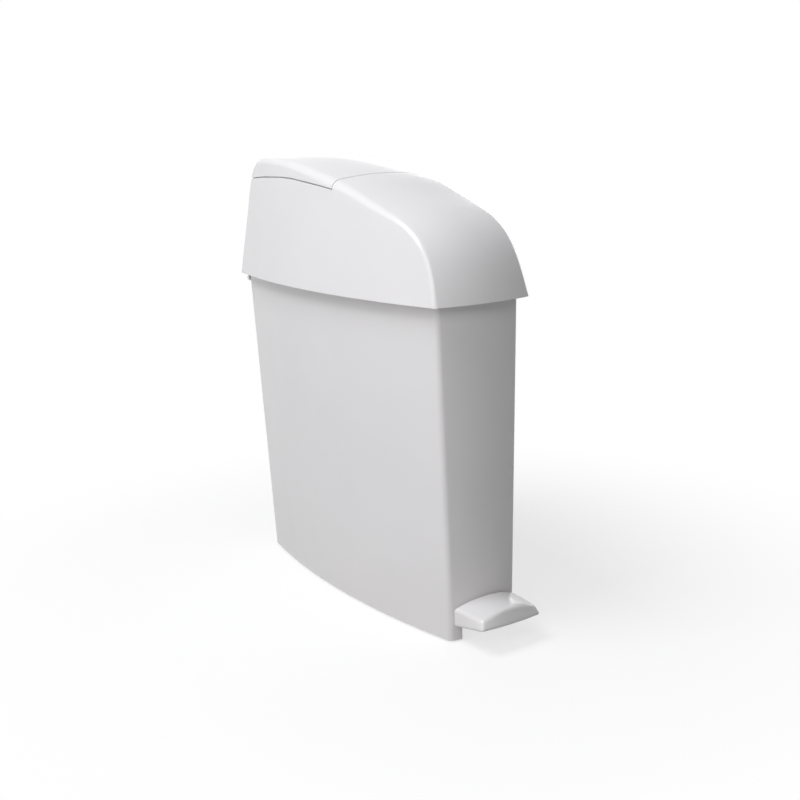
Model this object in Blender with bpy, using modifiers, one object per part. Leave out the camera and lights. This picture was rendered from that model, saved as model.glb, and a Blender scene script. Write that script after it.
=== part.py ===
"""Slim pedal bin with a tapered body, a domed hood and a flap that a foot pedal opens.

Sizes are in metres. X runs across the bin, Y from front to back and Z up. The bin stands on Z = 0,
and the origin is under the middle of its overall depth. The pedal turns a long lever under the
floor of the body, whose rear end lifts a rod, which opens the flap through a crank. The hood turns
back on two hinges at the rear for emptying.
"""
import math
from collections import namedtuple

import bmesh
import bpy
from mathutils import Matrix, Vector

Finish = namedtuple("Finish", "name color roughness metallic")
Plan = namedtuple("Plan", "half_width front_y rear_y front_bow rear_bow")

# Overall body
BODY_LIFT = 0.002
BODY_RIM_Z = 0.404
BODY_WALL = 0.0028
BOTTOM_HALF_WIDTH = 0.065
BOTTOM_FRONT_Y = -0.2246
BOTTOM_REAR_Y = 0.2115
SIDE_FLARE = 0.0118
FRONT_FLARE = 0.0045
REAR_FLARE = 0.0181
WIDEST_Y = -0.016
SIDE_RADIUS = 1.1
FRONT_BOW = 0.0047
REAR_BOW = 0.003
CORNER_RADIUS = 0.014
CUT_OVERRUN = 0.004
FIT_GAP = 0.0003
RUNNING_GAP = 0.0001

# Floor and underside of the body
FLOOR_UNDER_Z = 0.050
FLOOR_THICKNESS = 0.0028
NOTCH_SIDE_INSET = 0.034
NOTCH_DROP = 0.012

# Rubber feet and the posts that they plug into
FOOT_STEM_RADIUS = 0.003
FOOT_STEM_LENGTH = 0.006
FOOT_PAD_DEPTH = 0.0017
FOOT_CHAMFER = 0.0008
FOOT_EDGE = 0.0008
POST_WALL = 0.005
FRONT_POST_SIDE_INSET = 0.030
FRONT_POST_INSET = 0.0176
REAR_POST_SIDE_INSET = 0.034
REAR_POST_INSET = 0.0215

# Pedal, lever and pivot
PIVOT_Y = -0.060
PIVOT_DROP = 0.026
LEVER_TILT_DEG = 2.0
PEDAL_TRAVEL_DEG = 5.0
LEVER_HALF_WIDTH = 0.009
LEVER_THICKNESS = 0.004
LEVER_PAST_ROD = 0.0035
LEVER_IN_TREAD = 0.016
LEVER_HUB_WALL = 0.004
LEVER_HUB_PROUD = 0.0006
PIVOT_PIN_RADIUS = 0.0025
PIN_HEAD_EDGE = 0.0017
PIN_HEAD_LENGTH = 0.0016
PIN_CLIP_LENGTH = 0.0012
TREAD_DEPTH = 0.0544
TREAD_SIDE_INSET = 0.0226
TREAD_TOP_INSET = 0.004
TREAD_FRONT_BOW = 0.003
TREAD_REAR_GAP = 0.0009
TREAD_REAR_DROP = 0.004
TREAD_REAR_RISE = 0.0205
TREAD_FRONT_UNDERCUT = 0.0072
TREAD_FRONT_RISE = 0.0200
TREAD_CROWN = 0.0032
TREAD_FRONT_SETBACK = 0.005
TREAD_EDGE_RADIUS = 0.0018
PEDAL_SCREW_SPACING = 0.020
PEDAL_SCREW_INSET = 0.008

# Bracket under the floor that carries the lever
BRACKET_SIDE_GAP = 0.0015
BRACKET_THICKNESS = 0.0025
BRACKET_HALF_LENGTH = 0.013
BRACKET_EDGE = 0.007
BRACKET_FLANGE = 0.012

# Screws
SCREW_SHANK_RADIUS = 0.0014
SCREW_HEAD_EDGE = 0.0016
SCREW_HEAD_HEIGHT = 0.0018
SCREW_LENGTH = 0.0085
SCREW_HOLE_GAP = 0.0003
SCREW_CROWN_share = 0.7
SCREW_BITE_share = 0.68

# Push rod, its caps, bushes and cover
ROD_RADIUS = 0.003
ROD_CAP_WALL = 0.003
ROD_CAP_HEIGHT = 0.009
ROD_CAP_BORE_DEPTH = 0.006
ROD_FOOT_WALL = 0.002
ROD_FOOT_HEIGHT = 0.008
ROD_DOME_shares = ((0.0, 0.0), (0.50, 0.12), (0.85, 0.45), (1.0, 1.0))
ROD_CAP_TOP_share = 0.85
BUSH_WALL = 0.0022
BUSH_FLANGE_EDGE = 0.0012
BUSH_FLANGE_HEIGHT = 0.0015
BUSH_LENGTH = 0.0035
CHANNEL_SIDE_ROOM = 0.0041
CHANNEL_FRONT_ROOM = 0.009
CHANNEL_WALL = 0.0018
CHANNEL_RIM_GAP = 0.020
CHANNEL_TOP_THICKNESS = 0.003

# Hood shell
SKIRT_OVERLAP = 0.014
HOOD_SIDE_OVERHANG = 0.0106
HOOD_END_OVERHANG = 0.0104
HOOD_RISE = 0.156
HOOD_DRAFT_share = 0.147
HOOD_CROWN = 0.0044
HOOD_EDGE_RADIUS = 0.009
HOOD_WALL = 0.0026
SKIRT_TRIM = 0.004

# Side profile of the hood from the rear foot of the skirt over the top to the front foot, each as
# a share of the half depth and a share of the rise above the skirt
HOOD_PROFILE_shares = (
    (1.000, 0.000), (0.964, 0.397), (0.937, 0.718), (0.906, 0.878), (0.846, 0.971), (0.758, 1.000),
    (0.625, 0.999), (0.438, 0.988), (0.208, 0.949), (-0.042, 0.881), (-0.333, 0.776),
    (-0.583, 0.650), (-0.771, 0.537), (-0.892, 0.383), (-0.959, 0.192), (-1.000, 0.000),
)

# Flap, its seam and its hinge. The seam's line starts at its front end, in the same shares
SEAM_GAP = 0.0012
SEAM_HEIGHT_shares = ((-0.175, 0.769), (-0.062, 0.790), (0.042, 0.806), (0.155, 0.822),
                      (0.277, 0.836), (0.408, 0.840), (0.554, 0.837), (0.721, 0.829),
                      (0.867, 0.815), (1.100, 0.811))
FLAP_AXIS_INSET = 0.009
FLAP_AXIS_RISE = 0.002
FLAP_PIN_RADIUS = 0.0016
KNUCKLE_WALL = 0.0024
FLAP_BARREL_HALF = 0.0237
EAR_WIDTH = 0.006
PIN_HEAD_share = 0.75
WEB_DEPTH = 0.010
WEB_HEIGHT = 0.009
WEB_TOP_share = 0.60
SEAT_CLEARANCE = 0.0005
SEAT_THICKNESS = 0.002
SEAT_LEDGE = 0.008
SEAT_UPSTAND = 0.007
SEAT_HINGE_ROOM = 0.0043
SEAT_HINGE_DEPTH = 0.035

# Crank under the flap
FLAP_OPEN_DEG = 50.0
CRANK_TIP_RADIUS = 0.003
CRANK_HALF_WIDTH = 0.005
CRANK_ARM_DEPTH = 0.007
CRANK_PLATE_THICKNESS = 0.003
CRANK_FRONT_REACH = 0.087
CRANK_REAR_REACH = 0.041
CRANK_BOSS_WALL = 0.0021
CRANK_BOSS_HEIGHT = 0.005
CRANK_SCREW_INSET = 0.007
CRANK_SCREW_LENGTH = 0.0075

# Ring that holds the bag and the frame that closes the hood's underside
RING_GAP = 0.0004
RING_THICKNESS = 0.002
RING_DEPTH = 0.014
RING_FLANGE = 0.0012
FRAME_THICKNESS = 0.003
FRAME_MARGIN = 0.008
FRAME_SIDE_GAP = 0.0010

# Rear hinges of the hood
HINGE_DROP = 0.009
HINGE_SIDE_INSET = 0.0468
HINGE_HALF_WIDTH = 0.008
HINGE_PIN_RADIUS = 0.002
HINGE_BARREL_WALL = 0.0025
HINGE_PIN_HEAD_EDGE = 0.0014
HINGE_BLOCK_HEIGHT = 0.020
HINGE_BLOCK_STAND = 0.0069
HINGE_SCREW_LENGTH = 0.0115
HINGE_SCREW_DROP = 0.0105
HOOD_EAR_WIDTH = 0.0055
HOOD_EAR_RISE = 0.006
HOOD_EAR_DEPTH = 0.006

# How finely curves are divided
FRONT_STEPS = 8
SIDE_STEPS = 14
CORNER_STEPS = 5
ROUND_STEPS = 20
SPAN_STEPS = 2
CROWN_STEPS = 3
EDGE_STEPS = 3
WALL_ROWS = 3
BEVEL_STEPS = 2
TREAD_STEPS = 12
SMOOTH_ANGLE = math.radians(35.0)
MERGE_DISTANCE = 0.00005

WHITE_SHELL = Finish("white_shell", (0.80, 0.80, 0.81, 1.0), 0.28, 0.0)
WHITE_INNER = Finish("white_inner", (0.74, 0.74, 0.75, 1.0), 0.45, 0.0)
ZINC_STEEL = Finish("zinc_steel", (0.62, 0.62, 0.63, 1.0), 0.35, 1.0)
GREY_PLASTIC = Finish("grey_plastic", (0.22, 0.22, 0.23, 1.0), 0.50, 0.0)
BLACK_RUBBER = Finish("black_rubber", (0.03, 0.03, 0.03, 1.0), 0.80, 0.0)

# Places and sizes that follow from the ones above
RIM_HALF_WIDTH = BOTTOM_HALF_WIDTH + SIDE_FLARE
RIM_FRONT_Y = BOTTOM_FRONT_Y - FRONT_FLARE
RIM_REAR_Y = BOTTOM_REAR_Y + REAR_FLARE
BODY_RISE = BODY_RIM_Z - BODY_LIFT
FLOOR_TOP_Z = FLOOR_UNDER_Z + FLOOR_THICKNESS
NOTCH_TOP_Z = FLOOR_UNDER_Z - NOTCH_DROP
NOTCH_HALF_WIDTH = BOTTOM_HALF_WIDTH - NOTCH_SIDE_INSET
POST_RADIUS = FOOT_STEM_RADIUS + POST_WALL
FOOT_RADIUS = POST_RADIUS - FOOT_EDGE
FRONT_POST_X = BOTTOM_HALF_WIDTH - FRONT_POST_SIDE_INSET
FRONT_POST_Y = BOTTOM_FRONT_Y + FRONT_POST_INSET
REAR_POST_X = BOTTOM_HALF_WIDTH - REAR_POST_SIDE_INSET
REAR_POST_Y = BOTTOM_REAR_Y - REAR_POST_INSET

SKIRT_Z = BODY_RIM_Z - SKIRT_OVERLAP
HOOD_HALF_WIDTH = RIM_HALF_WIDTH + HOOD_SIDE_OVERHANG
HOOD_HALF_DEPTH = RIM_REAR_Y + HOOD_END_OVERHANG
HOOD_AXIS_Y = HOOD_HALF_DEPTH
HOOD_AXIS_Z = SKIRT_Z - HINGE_DROP
HINGE_BARREL_RADIUS = HINGE_PIN_RADIUS + HINGE_BARREL_WALL
HINGE_PIN_HEAD_RADIUS = HINGE_PIN_RADIUS + HINGE_PIN_HEAD_EDGE
HINGE_FACE_Y = RIM_REAR_Y + HINGE_BLOCK_STAND
HINGE_X = RIM_HALF_WIDTH - HINGE_SIDE_INSET
SEAM_FRONT_Y = HOOD_HALF_DEPTH * SEAM_HEIGHT_shares[0][0]
FLAP_AXIS_Y = HOOD_HALF_DEPTH - FLAP_AXIS_INSET
FLAP_AXIS_Z = SKIRT_Z + HOOD_RISE * SEAM_HEIGHT_shares[-1][1] + FLAP_AXIS_RISE
KNUCKLE_RADIUS = FLAP_PIN_RADIUS + KNUCKLE_WALL
SEAT_HINGE_HALF_WIDTH = FLAP_BARREL_HALF + EAR_WIDTH + SEAT_HINGE_ROOM

# The crank's tip stands over the rod, and both travel as far as the pedal's turn lifts the lever
LEVER_TILT = math.radians(LEVER_TILT_DEG)
PEDAL_TRAVEL = math.radians(PEDAL_TRAVEL_DEG)
FLAP_OPEN = math.radians(FLAP_OPEN_DEG)
LIFT_share = math.sin(PEDAL_TRAVEL - LEVER_TILT) + math.sin(LEVER_TILT)
SWING_share = LIFT_share / (2 * math.tan(FLAP_OPEN / 2))
ROD_Y = (FLAP_AXIS_Y + PIVOT_Y * SWING_share) / (1 + SWING_share)
ROD_ARM = ROD_Y - PIVOT_Y
CRANK_RADIUS = ROD_ARM * LIFT_share / (2 * math.sin(FLAP_OPEN / 2))
CRANK_TIP_Y = FLAP_AXIS_Y - CRANK_RADIUS * math.cos(FLAP_OPEN / 2)
CRANK_TIP_Z = FLAP_AXIS_Z - CRANK_RADIUS * math.sin(FLAP_OPEN / 2)
CRANK_PLATE_TOP_Z = SKIRT_Z + HOOD_RISE + HOOD_CROWN - HOOD_WALL - CRANK_BOSS_HEIGHT
CRANK_PLATE_FRONT_Y = FLAP_AXIS_Y - CRANK_FRONT_REACH
CRANK_PLATE_REAR_Y = FLAP_AXIS_Y - CRANK_REAR_REACH
CRANK_BOSS_RADIUS = SCREW_SHANK_RADIUS + CRANK_BOSS_WALL
ROD_TOP_Z = CRANK_TIP_Z - CRANK_TIP_RADIUS - FIT_GAP
ROD_CAP_RADIUS = ROD_RADIUS + ROD_CAP_WALL
ROD_FOOT_RADIUS = ROD_RADIUS + ROD_FOOT_WALL
BUSH_RADIUS = ROD_RADIUS + BUSH_WALL
BUSH_FLANGE_RADIUS = BUSH_RADIUS + BUSH_FLANGE_EDGE
CHANNEL_HALF_WIDTH = BUSH_FLANGE_RADIUS + CHANNEL_SIDE_ROOM
CHANNEL_FRONT_Y = ROD_Y - CHANNEL_FRONT_ROOM
CHANNEL_TOP_Z = BODY_RIM_Z - CHANNEL_RIM_GAP

PIVOT_Z = FLOOR_UNDER_Z - PIVOT_DROP
PIN_HEAD_RADIUS = PIVOT_PIN_RADIUS + PIN_HEAD_EDGE
LEVER_HUB_RADIUS = PIVOT_PIN_RADIUS + LEVER_HUB_WALL
TREAD_HALF_WIDTH = BOTTOM_HALF_WIDTH - TREAD_SIDE_INSET
TREAD_FRONT_Y = BOTTOM_FRONT_Y - TREAD_DEPTH
TREAD_REAR_BOTTOM_Z = PIVOT_Z - TREAD_REAR_DROP
TREAD_REAR_TOP_Z = PIVOT_Z + TREAD_REAR_RISE
TREAD_FRONT_BOTTOM_Z = PIVOT_Z + TREAD_FRONT_UNDERCUT
TREAD_FRONT_TOP_Z = PIVOT_Z + TREAD_FRONT_RISE
LEVER_FRONT_REACH = PIVOT_Y - TREAD_FRONT_Y - LEVER_IN_TREAD
LEVER_REAR_REACH = ROD_ARM + LEVER_PAST_ROD
BRACKET_CHEEK_X = LEVER_HALF_WIDTH + BRACKET_SIDE_GAP
BRACKET_SCREW_LENGTH = BRACKET_THICKNESS + 2 * FIT_GAP + FLOOR_THICKNESS * SCREW_BITE_share
SCREW_HEAD_RADIUS = SCREW_SHANK_RADIUS + SCREW_HEAD_EDGE

OVERALL_FRONT_Y = TREAD_FRONT_Y - TREAD_FRONT_BOW
OVERALL_REAR_Y = HOOD_AXIS_Y + HINGE_BARREL_RADIUS
ORIGIN_SHIFT = -(OVERALL_FRONT_Y + OVERALL_REAR_Y) / 2


def clear_scene():
    """Remove every object that is in the scene."""
    for old in list(bpy.data.objects):
        bpy.data.objects.remove(old, do_unlink=True)


def new_collection(name):
    """Link a new collection to the scene."""
    made = bpy.data.collections.new(name)
    bpy.context.scene.collection.children.link(made)
    return made


def material_for(finish):
    """Return the material of a finish, made on its first use."""
    made = bpy.data.materials.get(finish.name)
    if made is None:
        made = bpy.data.materials.new(finish.name)
        made.use_nodes = True
        shader = made.node_tree.nodes["Principled BSDF"]
        shader.inputs["Base Color"].default_value = finish.color
        shader.inputs["Roughness"].default_value = finish.roughness
        shader.inputs["Metallic"].default_value = finish.metallic
        made.diffuse_color = finish.color
    return made


def add_object(name, shape, collection):
    """Turn a bmesh into an object in a collection."""
    mesh = bpy.data.meshes.new(name)
    shape.to_mesh(mesh)
    shape.free()
    made = bpy.data.objects.new(name, mesh)
    collection.objects.link(made)
    return made


def add_part(name, shape, finish, joint=None):
    """Turn a bmesh in world places into a part that hangs on its joint's empty."""
    made = add_object(name, shape, PARTS)
    made.data.materials.append(material_for(finish))
    made.data.shade_smooth()
    made.data.set_sharp_from_angle(angle=SMOOTH_ANGLE)
    hang(made, joint)
    return made


def hang(made, joint):
    """Parent an object to an empty, so that its origin is on the joint's axis."""
    if joint is None:
        joint = ASSEMBLY
    made.data.transform(Matrix.Translation(-world_place(joint)))
    made.parent = joint


def world_place(joint):
    """Place of an empty before the whole assembly is shifted."""
    place = Vector(joint.location)
    while joint.parent is not None:
        joint = joint.parent
        place += joint.location
    return place - ASSEMBLY.location


def add_cutter(name, shape, joint=None):
    """Turn a bmesh into a hidden cutter."""
    made = add_object(name, shape, CUTTERS)
    made.hide_render = True
    made.display_type = "WIRE"
    hang(made, joint)
    return made


def combine(target, other, operation):
    """Add an exact Boolean of another object to a part."""
    modifier = target.modifiers.new(f"{operation.lower()} {other.name}", "BOOLEAN")
    modifier.operation = operation
    modifier.object = other
    modifier.solver = "EXACT"


def cut(target, *cutters):
    """Cut a part by each cutter."""
    for cutter in cutters:
        combine(target, cutter, "DIFFERENCE")


def join(target, *others):
    """Unite a part with each other solid."""
    for other in others:
        combine(target, other, "UNION")


def box_shape(low, high):
    """Axis-aligned box between two corners."""
    shape = bmesh.new()
    bmesh.ops.create_cube(shape, size=1.0)
    size = Vector(high) - Vector(low)
    middle = (Vector(high) + Vector(low)) / 2
    bmesh.ops.scale(shape, vec=size, verts=shape.verts)
    bmesh.ops.translate(shape, vec=middle, verts=shape.verts)
    return shape


def rod_shape(radius, start, end):
    """Round bar between two points."""
    start = Vector(start)
    end = Vector(end)
    axis = end - start
    shape = bmesh.new()
    turn = axis.to_track_quat("Z", "Y").to_matrix().to_4x4()
    place = Matrix.Translation((start + end) / 2) @ turn
    bmesh.ops.create_cone(shape, cap_ends=True, segments=ROUND_STEPS, radius1=radius,
                          radius2=radius, depth=axis.length, matrix=place)
    return shape


def turned_shape(profile, place):
    """Solid of revolution about Z from (radius, height) points that start and end on the axis."""
    shape = bmesh.new()
    line = [shape.verts.new((radius, 0.0, height)) for radius, height in profile]
    edges = [shape.edges.new(pair) for pair in zip(line, line[1:])]
    bmesh.ops.spin(shape, geom=line + edges, axis=(0, 0, 1), cent=(0, 0, 0), angle=math.tau,
                   steps=ROUND_STEPS, use_merge=True)
    bmesh.ops.remove_doubles(shape, verts=shape.verts, dist=MERGE_DISTANCE)
    bmesh.ops.recalc_face_normals(shape, faces=shape.faces)
    bmesh.ops.transform(shape, matrix=place, verts=shape.verts)
    return shape


def ring_shape(corners, place):
    """Round ring turned about Z from the (radius, height) corners of its section."""
    shape = bmesh.new()
    line = [shape.verts.new((radius, 0.0, height)) for radius, height in corners]
    edges = [shape.edges.new((line[i], line[i - 1])) for i in range(len(line))]
    bmesh.ops.spin(shape, geom=line + edges, axis=(0, 0, 1), cent=(0, 0, 0), angle=math.tau,
                   steps=ROUND_STEPS, use_merge=True)
    bmesh.ops.remove_doubles(shape, verts=shape.verts, dist=MERGE_DISTANCE)
    bmesh.ops.recalc_face_normals(shape, faces=shape.faces)
    bmesh.ops.transform(shape, matrix=place, verts=shape.verts)
    return shape


def slab_shape(outline, half_width, middle_x=0.0):
    """Flat outline of (y, z) points given a thickness across X."""
    shape = bmesh.new()
    corners = [shape.verts.new((middle_x - half_width, y, z)) for y, z in outline]
    face = shape.faces.new(corners)
    grown = bmesh.ops.extrude_face_region(shape, geom=[face])
    moved = [item for item in grown["geom"] if isinstance(item, bmesh.types.BMVert)]
    bmesh.ops.translate(shape, vec=(2 * half_width, 0, 0), verts=moved)
    bmesh.ops.recalc_face_normals(shape, faces=shape.faces)
    return shape


def body_plan(z):
    """Outline sizes of the tapered body at a height."""
    share = (z - BODY_LIFT) / BODY_RISE
    half_width = BOTTOM_HALF_WIDTH + (RIM_HALF_WIDTH - BOTTOM_HALF_WIDTH) * share
    front_y = BOTTOM_FRONT_Y + (RIM_FRONT_Y - BOTTOM_FRONT_Y) * share
    rear_y = BOTTOM_REAR_Y + (RIM_REAR_Y - BOTTOM_REAR_Y) * share
    return Plan(half_width, front_y, rear_y, FRONT_BOW, REAR_BOW)


def plan_side_x(plan, y):
    """Half width of the rounded-off core of the plan at a depth."""
    return plan.half_width - CORNER_RADIUS - (y - WIDEST_Y) ** 2 / (2 * SIDE_RADIUS)


def plan_half(plan, offset):
    """Right half of the plan loop, from the front middle to the rear middle."""
    front = plan.front_y + CORNER_RADIUS
    rear = plan.rear_y - CORNER_RADIUS
    grow = CORNER_RADIUS + offset
    points = []
    for end_y, bow, turn in ((front, plan.front_bow, -1), (rear, plan.rear_bow, 1)):
        reach = plan_side_x(plan, end_y)
        stretch = []
        for step in range(FRONT_STEPS // 2 + 1):
            x = reach * step / (FRONT_STEPS // 2)
            swell = bow * (1 - (x / reach) ** 2)
            normal = Vector((2 * bow * x / reach ** 2, turn)).normalized()
            stretch.append(Vector((x, end_y + turn * swell)) + grow * normal)
        side_normal = Vector((1.0, (end_y - WIDEST_Y) / SIDE_RADIUS)).normalized()
        first = math.atan2(turn, 2 * bow / reach)
        last = math.atan2(side_normal.y, side_normal.x)
        centre = Vector((reach, end_y))
        for step in range(1, CORNER_STEPS):
            angle = first + (last - first) * step / CORNER_STEPS
            stretch.append(centre + grow * Vector((math.cos(angle), math.sin(angle))))
        points.append(stretch)
    side = []
    for step in range(SIDE_STEPS + 1):
        y = front + (rear - front) * step / SIDE_STEPS
        normal = Vector((1.0, (y - WIDEST_Y) / SIDE_RADIUS)).normalized()
        side.append(Vector((plan_side_x(plan, y), y)) + grow * normal)
    return points[0] + side + points[1][::-1]


def plan_loop(plan, offset, z):
    """Closed plan loop at a height, grown outwards by an offset."""
    right = plan_half(plan, offset)
    left = [Vector((-point.x, point.y)) for point in right[-2:0:-1]]
    return [Vector((point.x, point.y, z)) for point in right + left]


def loft_shape(loops):
    """Closed solid through loops of equal length."""
    shape = bmesh.new()
    rings = [[shape.verts.new(point) for point in loop] for loop in loops]
    for low, high in zip(rings, rings[1:]):
        for index in range(len(low)):
            after = (index + 1) % len(low)
            shape.faces.new((low[index], low[after], high[after], high[index]))
    shape.faces.new(rings[0][::-1])
    shape.faces.new(rings[-1])
    bmesh.ops.recalc_face_normals(shape, faces=shape.faces)
    return shape


def body_solid(low_z, high_z, offset):
    """Tapered solid of the body's plan between two heights."""
    loops = [plan_loop(body_plan(z), offset, z) for z in (low_z, high_z)]
    return loft_shape(loops)


def smooth_line(points, steps):
    """Centripetal Catmull-Rom line through 2D points."""
    first = 2 * points[0] - points[1]
    last = 2 * points[-1] - points[-2]
    keys = [first] + list(points) + [last]
    line = []
    for a, b, c, d in zip(keys, keys[1:], keys[2:], keys[3:]):
        t1 = math.sqrt((b - a).length)
        t2 = t1 + math.sqrt((c - b).length)
        t3 = t2 + math.sqrt((d - c).length)
        for step in range(steps):
            t = t1 + (t2 - t1) * step / steps
            ab = a.lerp(b, t / t1)
            bc = b.lerp(c, (t - t1) / (t2 - t1))
            cd = c.lerp(d, (t - t2) / (t3 - t2))
            abc = ab.lerp(bc, t / t2)
            bcd = bc.lerp(cd, (t - t1) / (t3 - t1))
            line.append(abc.lerp(bcd, (t - t1) / (t2 - t1)))
    line.append(Vector(points[-1]))
    return line


def hood_side_x(y, z, inset):
    """Half width of the hood's side wall at a depth and a height."""
    bow = (y - WIDEST_Y) ** 2 / (2 * SIDE_RADIUS)
    return HOOD_HALF_WIDTH - inset - bow - HOOD_DRAFT_share * (z - SKIRT_Z)


def hood_line(inset):
    """Side profile of the hood and its outward normals, moved in by an inset."""
    keys = [Vector((HOOD_HALF_DEPTH * y, SKIRT_Z + HOOD_RISE * z)) for y, z in HOOD_PROFILE_shares]
    keys[0] += Vector((0.0, -SKIRT_TRIM))
    keys[-1] += Vector((0.0, -SKIRT_TRIM))
    line = smooth_line(keys, SPAN_STEPS)
    moved = []
    for index, point in enumerate(line):
        before = line[max(index - 1, 0)]
        after = line[min(index + 1, len(line) - 1)]
        along = (after - before).normalized()
        normal = Vector((along.y, -along.x))
        moved.append((point - inset * normal, normal))
    return moved


def hood_rib(point, normal, inset):
    """Right half of one rib of the hood: the crown, then the rounded edge."""
    radius = max(HOOD_EDGE_RADIUS - inset, HOOD_EDGE_RADIUS / 4)
    reach = hood_side_x(point.x, point.y, inset) - radius
    rib = []
    for step in range(CROWN_STEPS + 1):
        share = step / CROWN_STEPS
        place = point + normal * HOOD_CROWN * (1 - share ** 2)
        rib.append(Vector((reach * share, place.x, place.y)))
    for step in range(1, EDGE_STEPS + 1):
        angle = math.pi / 2 * step / EDGE_STEPS
        place = point - normal * radius * (1 - math.cos(angle))
        wide = hood_side_x(place.x, place.y, inset) - radius * (1 - math.sin(angle))
        rib.append(Vector((wide, place.x, place.y)))
    return rib


def hood_wall(ribs, inset):
    """Rows of points from the ribs' ends down the side wall to the foot of the skirt."""
    rear = ribs[0][-1]
    front = ribs[-1][-1]
    rows = []
    for index, rib in enumerate(ribs):
        share = index / (len(ribs) - 1)
        foot = Vector((0.0, rear.y + (front.y - rear.y) * share, rear.z))
        row = []
        for step in range(1, WALL_ROWS + 1):
            point = rib[-1].lerp(foot, step / WALL_ROWS)
            row.append(Vector((hood_side_x(point.y, point.z, inset), point.y, point.z)))
        rows.append(row)
    return rows


def hood_sheet(inset):
    """Open outer surface of the hood, moved in by an inset and trimmed level at the skirt."""
    ribs = [hood_rib(point, normal, inset) for point, normal in hood_line(inset)]
    walls = hood_wall(ribs, inset)
    shape = bmesh.new()
    lines = []
    for rib, wall in zip(ribs, walls):
        right = rib + wall
        left = [Vector((-point.x, point.y, point.z)) for point in right[:0:-1]]
        lines.append([shape.verts.new(point) for point in left + right])
    for here, there in zip(lines, lines[1:]):
        for index in range(len(here) - 1):
            shape.faces.new((here[index], here[index + 1], there[index + 1], there[index]))
    bmesh.ops.remove_doubles(shape, verts=shape.verts, dist=MERGE_DISTANCE)
    bmesh.ops.dissolve_degenerate(shape, edges=shape.edges, dist=MERGE_DISTANCE)
    bmesh.ops.bisect_plane(shape, geom=shape.verts[:] + shape.edges[:] + shape.faces[:],
                           plane_co=(0, 0, SKIRT_Z), plane_no=(0, 0, 1), clear_inner=True)
    bmesh.ops.recalc_face_normals(shape, faces=shape.faces)
    top = max(shape.faces, key=lambda face: face.calc_center_median().z)
    if top.normal.z < 0:
        bmesh.ops.reverse_faces(shape, faces=shape.faces)
    return shape


def thicken(made, thickness):
    """Give an open surface its wall, inwards."""
    modifier = made.modifiers.new("wall", "SOLIDIFY")
    modifier.thickness = thickness
    modifier.offset = -1.0
    modifier.use_even_offset = True


def soften(made, width):
    """Round the sharp edges of a part."""
    modifier = made.modifiers.new("rounded edges", "BEVEL")
    modifier.width = width
    modifier.segments = BEVEL_STEPS
    modifier.limit_method = "ANGLE"
    modifier.angle_limit = SMOOTH_ANGLE


def flap_region(grow):
    """Space behind and above the flap's seam, grown outwards by an offset."""
    line = [Vector((HOOD_HALF_DEPTH * y, SKIRT_Z + HOOD_RISE * z)) for y, z in SEAM_HEIGHT_shares]
    front_y = SEAM_FRONT_Y - grow
    outline = [(front_y, line[0].y - grow)]
    outline += [(point.x, point.y - grow) for point in line if point.x > front_y]
    top_z = SKIRT_Z + HOOD_RISE + HOOD_CROWN + CUT_OVERRUN
    outline += [(line[-1].x, top_z), (front_y, top_z)]
    return slab_shape(outline, HOOD_HALF_WIDTH)


def screw_shape(head, direction, length=SCREW_LENGTH):
    """Pan-head screw whose head sits on a face and whose shank runs along a direction."""
    profile = ((0.0, -SCREW_HEAD_HEIGHT), (SCREW_HEAD_RADIUS * SCREW_CROWN_share, -SCREW_HEAD_HEIGHT),
               (SCREW_HEAD_RADIUS, -SCREW_HEAD_HEIGHT / 2), (SCREW_HEAD_RADIUS, 0.0),
               (SCREW_SHANK_RADIUS, 0.0), (SCREW_SHANK_RADIUS, length - SCREW_SHANK_RADIUS),
               (0.0, length))
    turn = Vector(direction).to_track_quat("Z", "Y").to_matrix().to_4x4()
    return turned_shape(profile, Matrix.Translation(head) @ turn)


def screw_hole(head, direction, length=SCREW_LENGTH):
    """Clearance hole for a screw, from just behind its head's seat past its tip."""
    aim = Vector(direction).normalized()
    start = Vector(head) - aim * FIT_GAP
    end = Vector(head) + aim * (length + SCREW_HOLE_GAP)
    return rod_shape(SCREW_SHANK_RADIUS + SCREW_HOLE_GAP, start, end)


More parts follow.
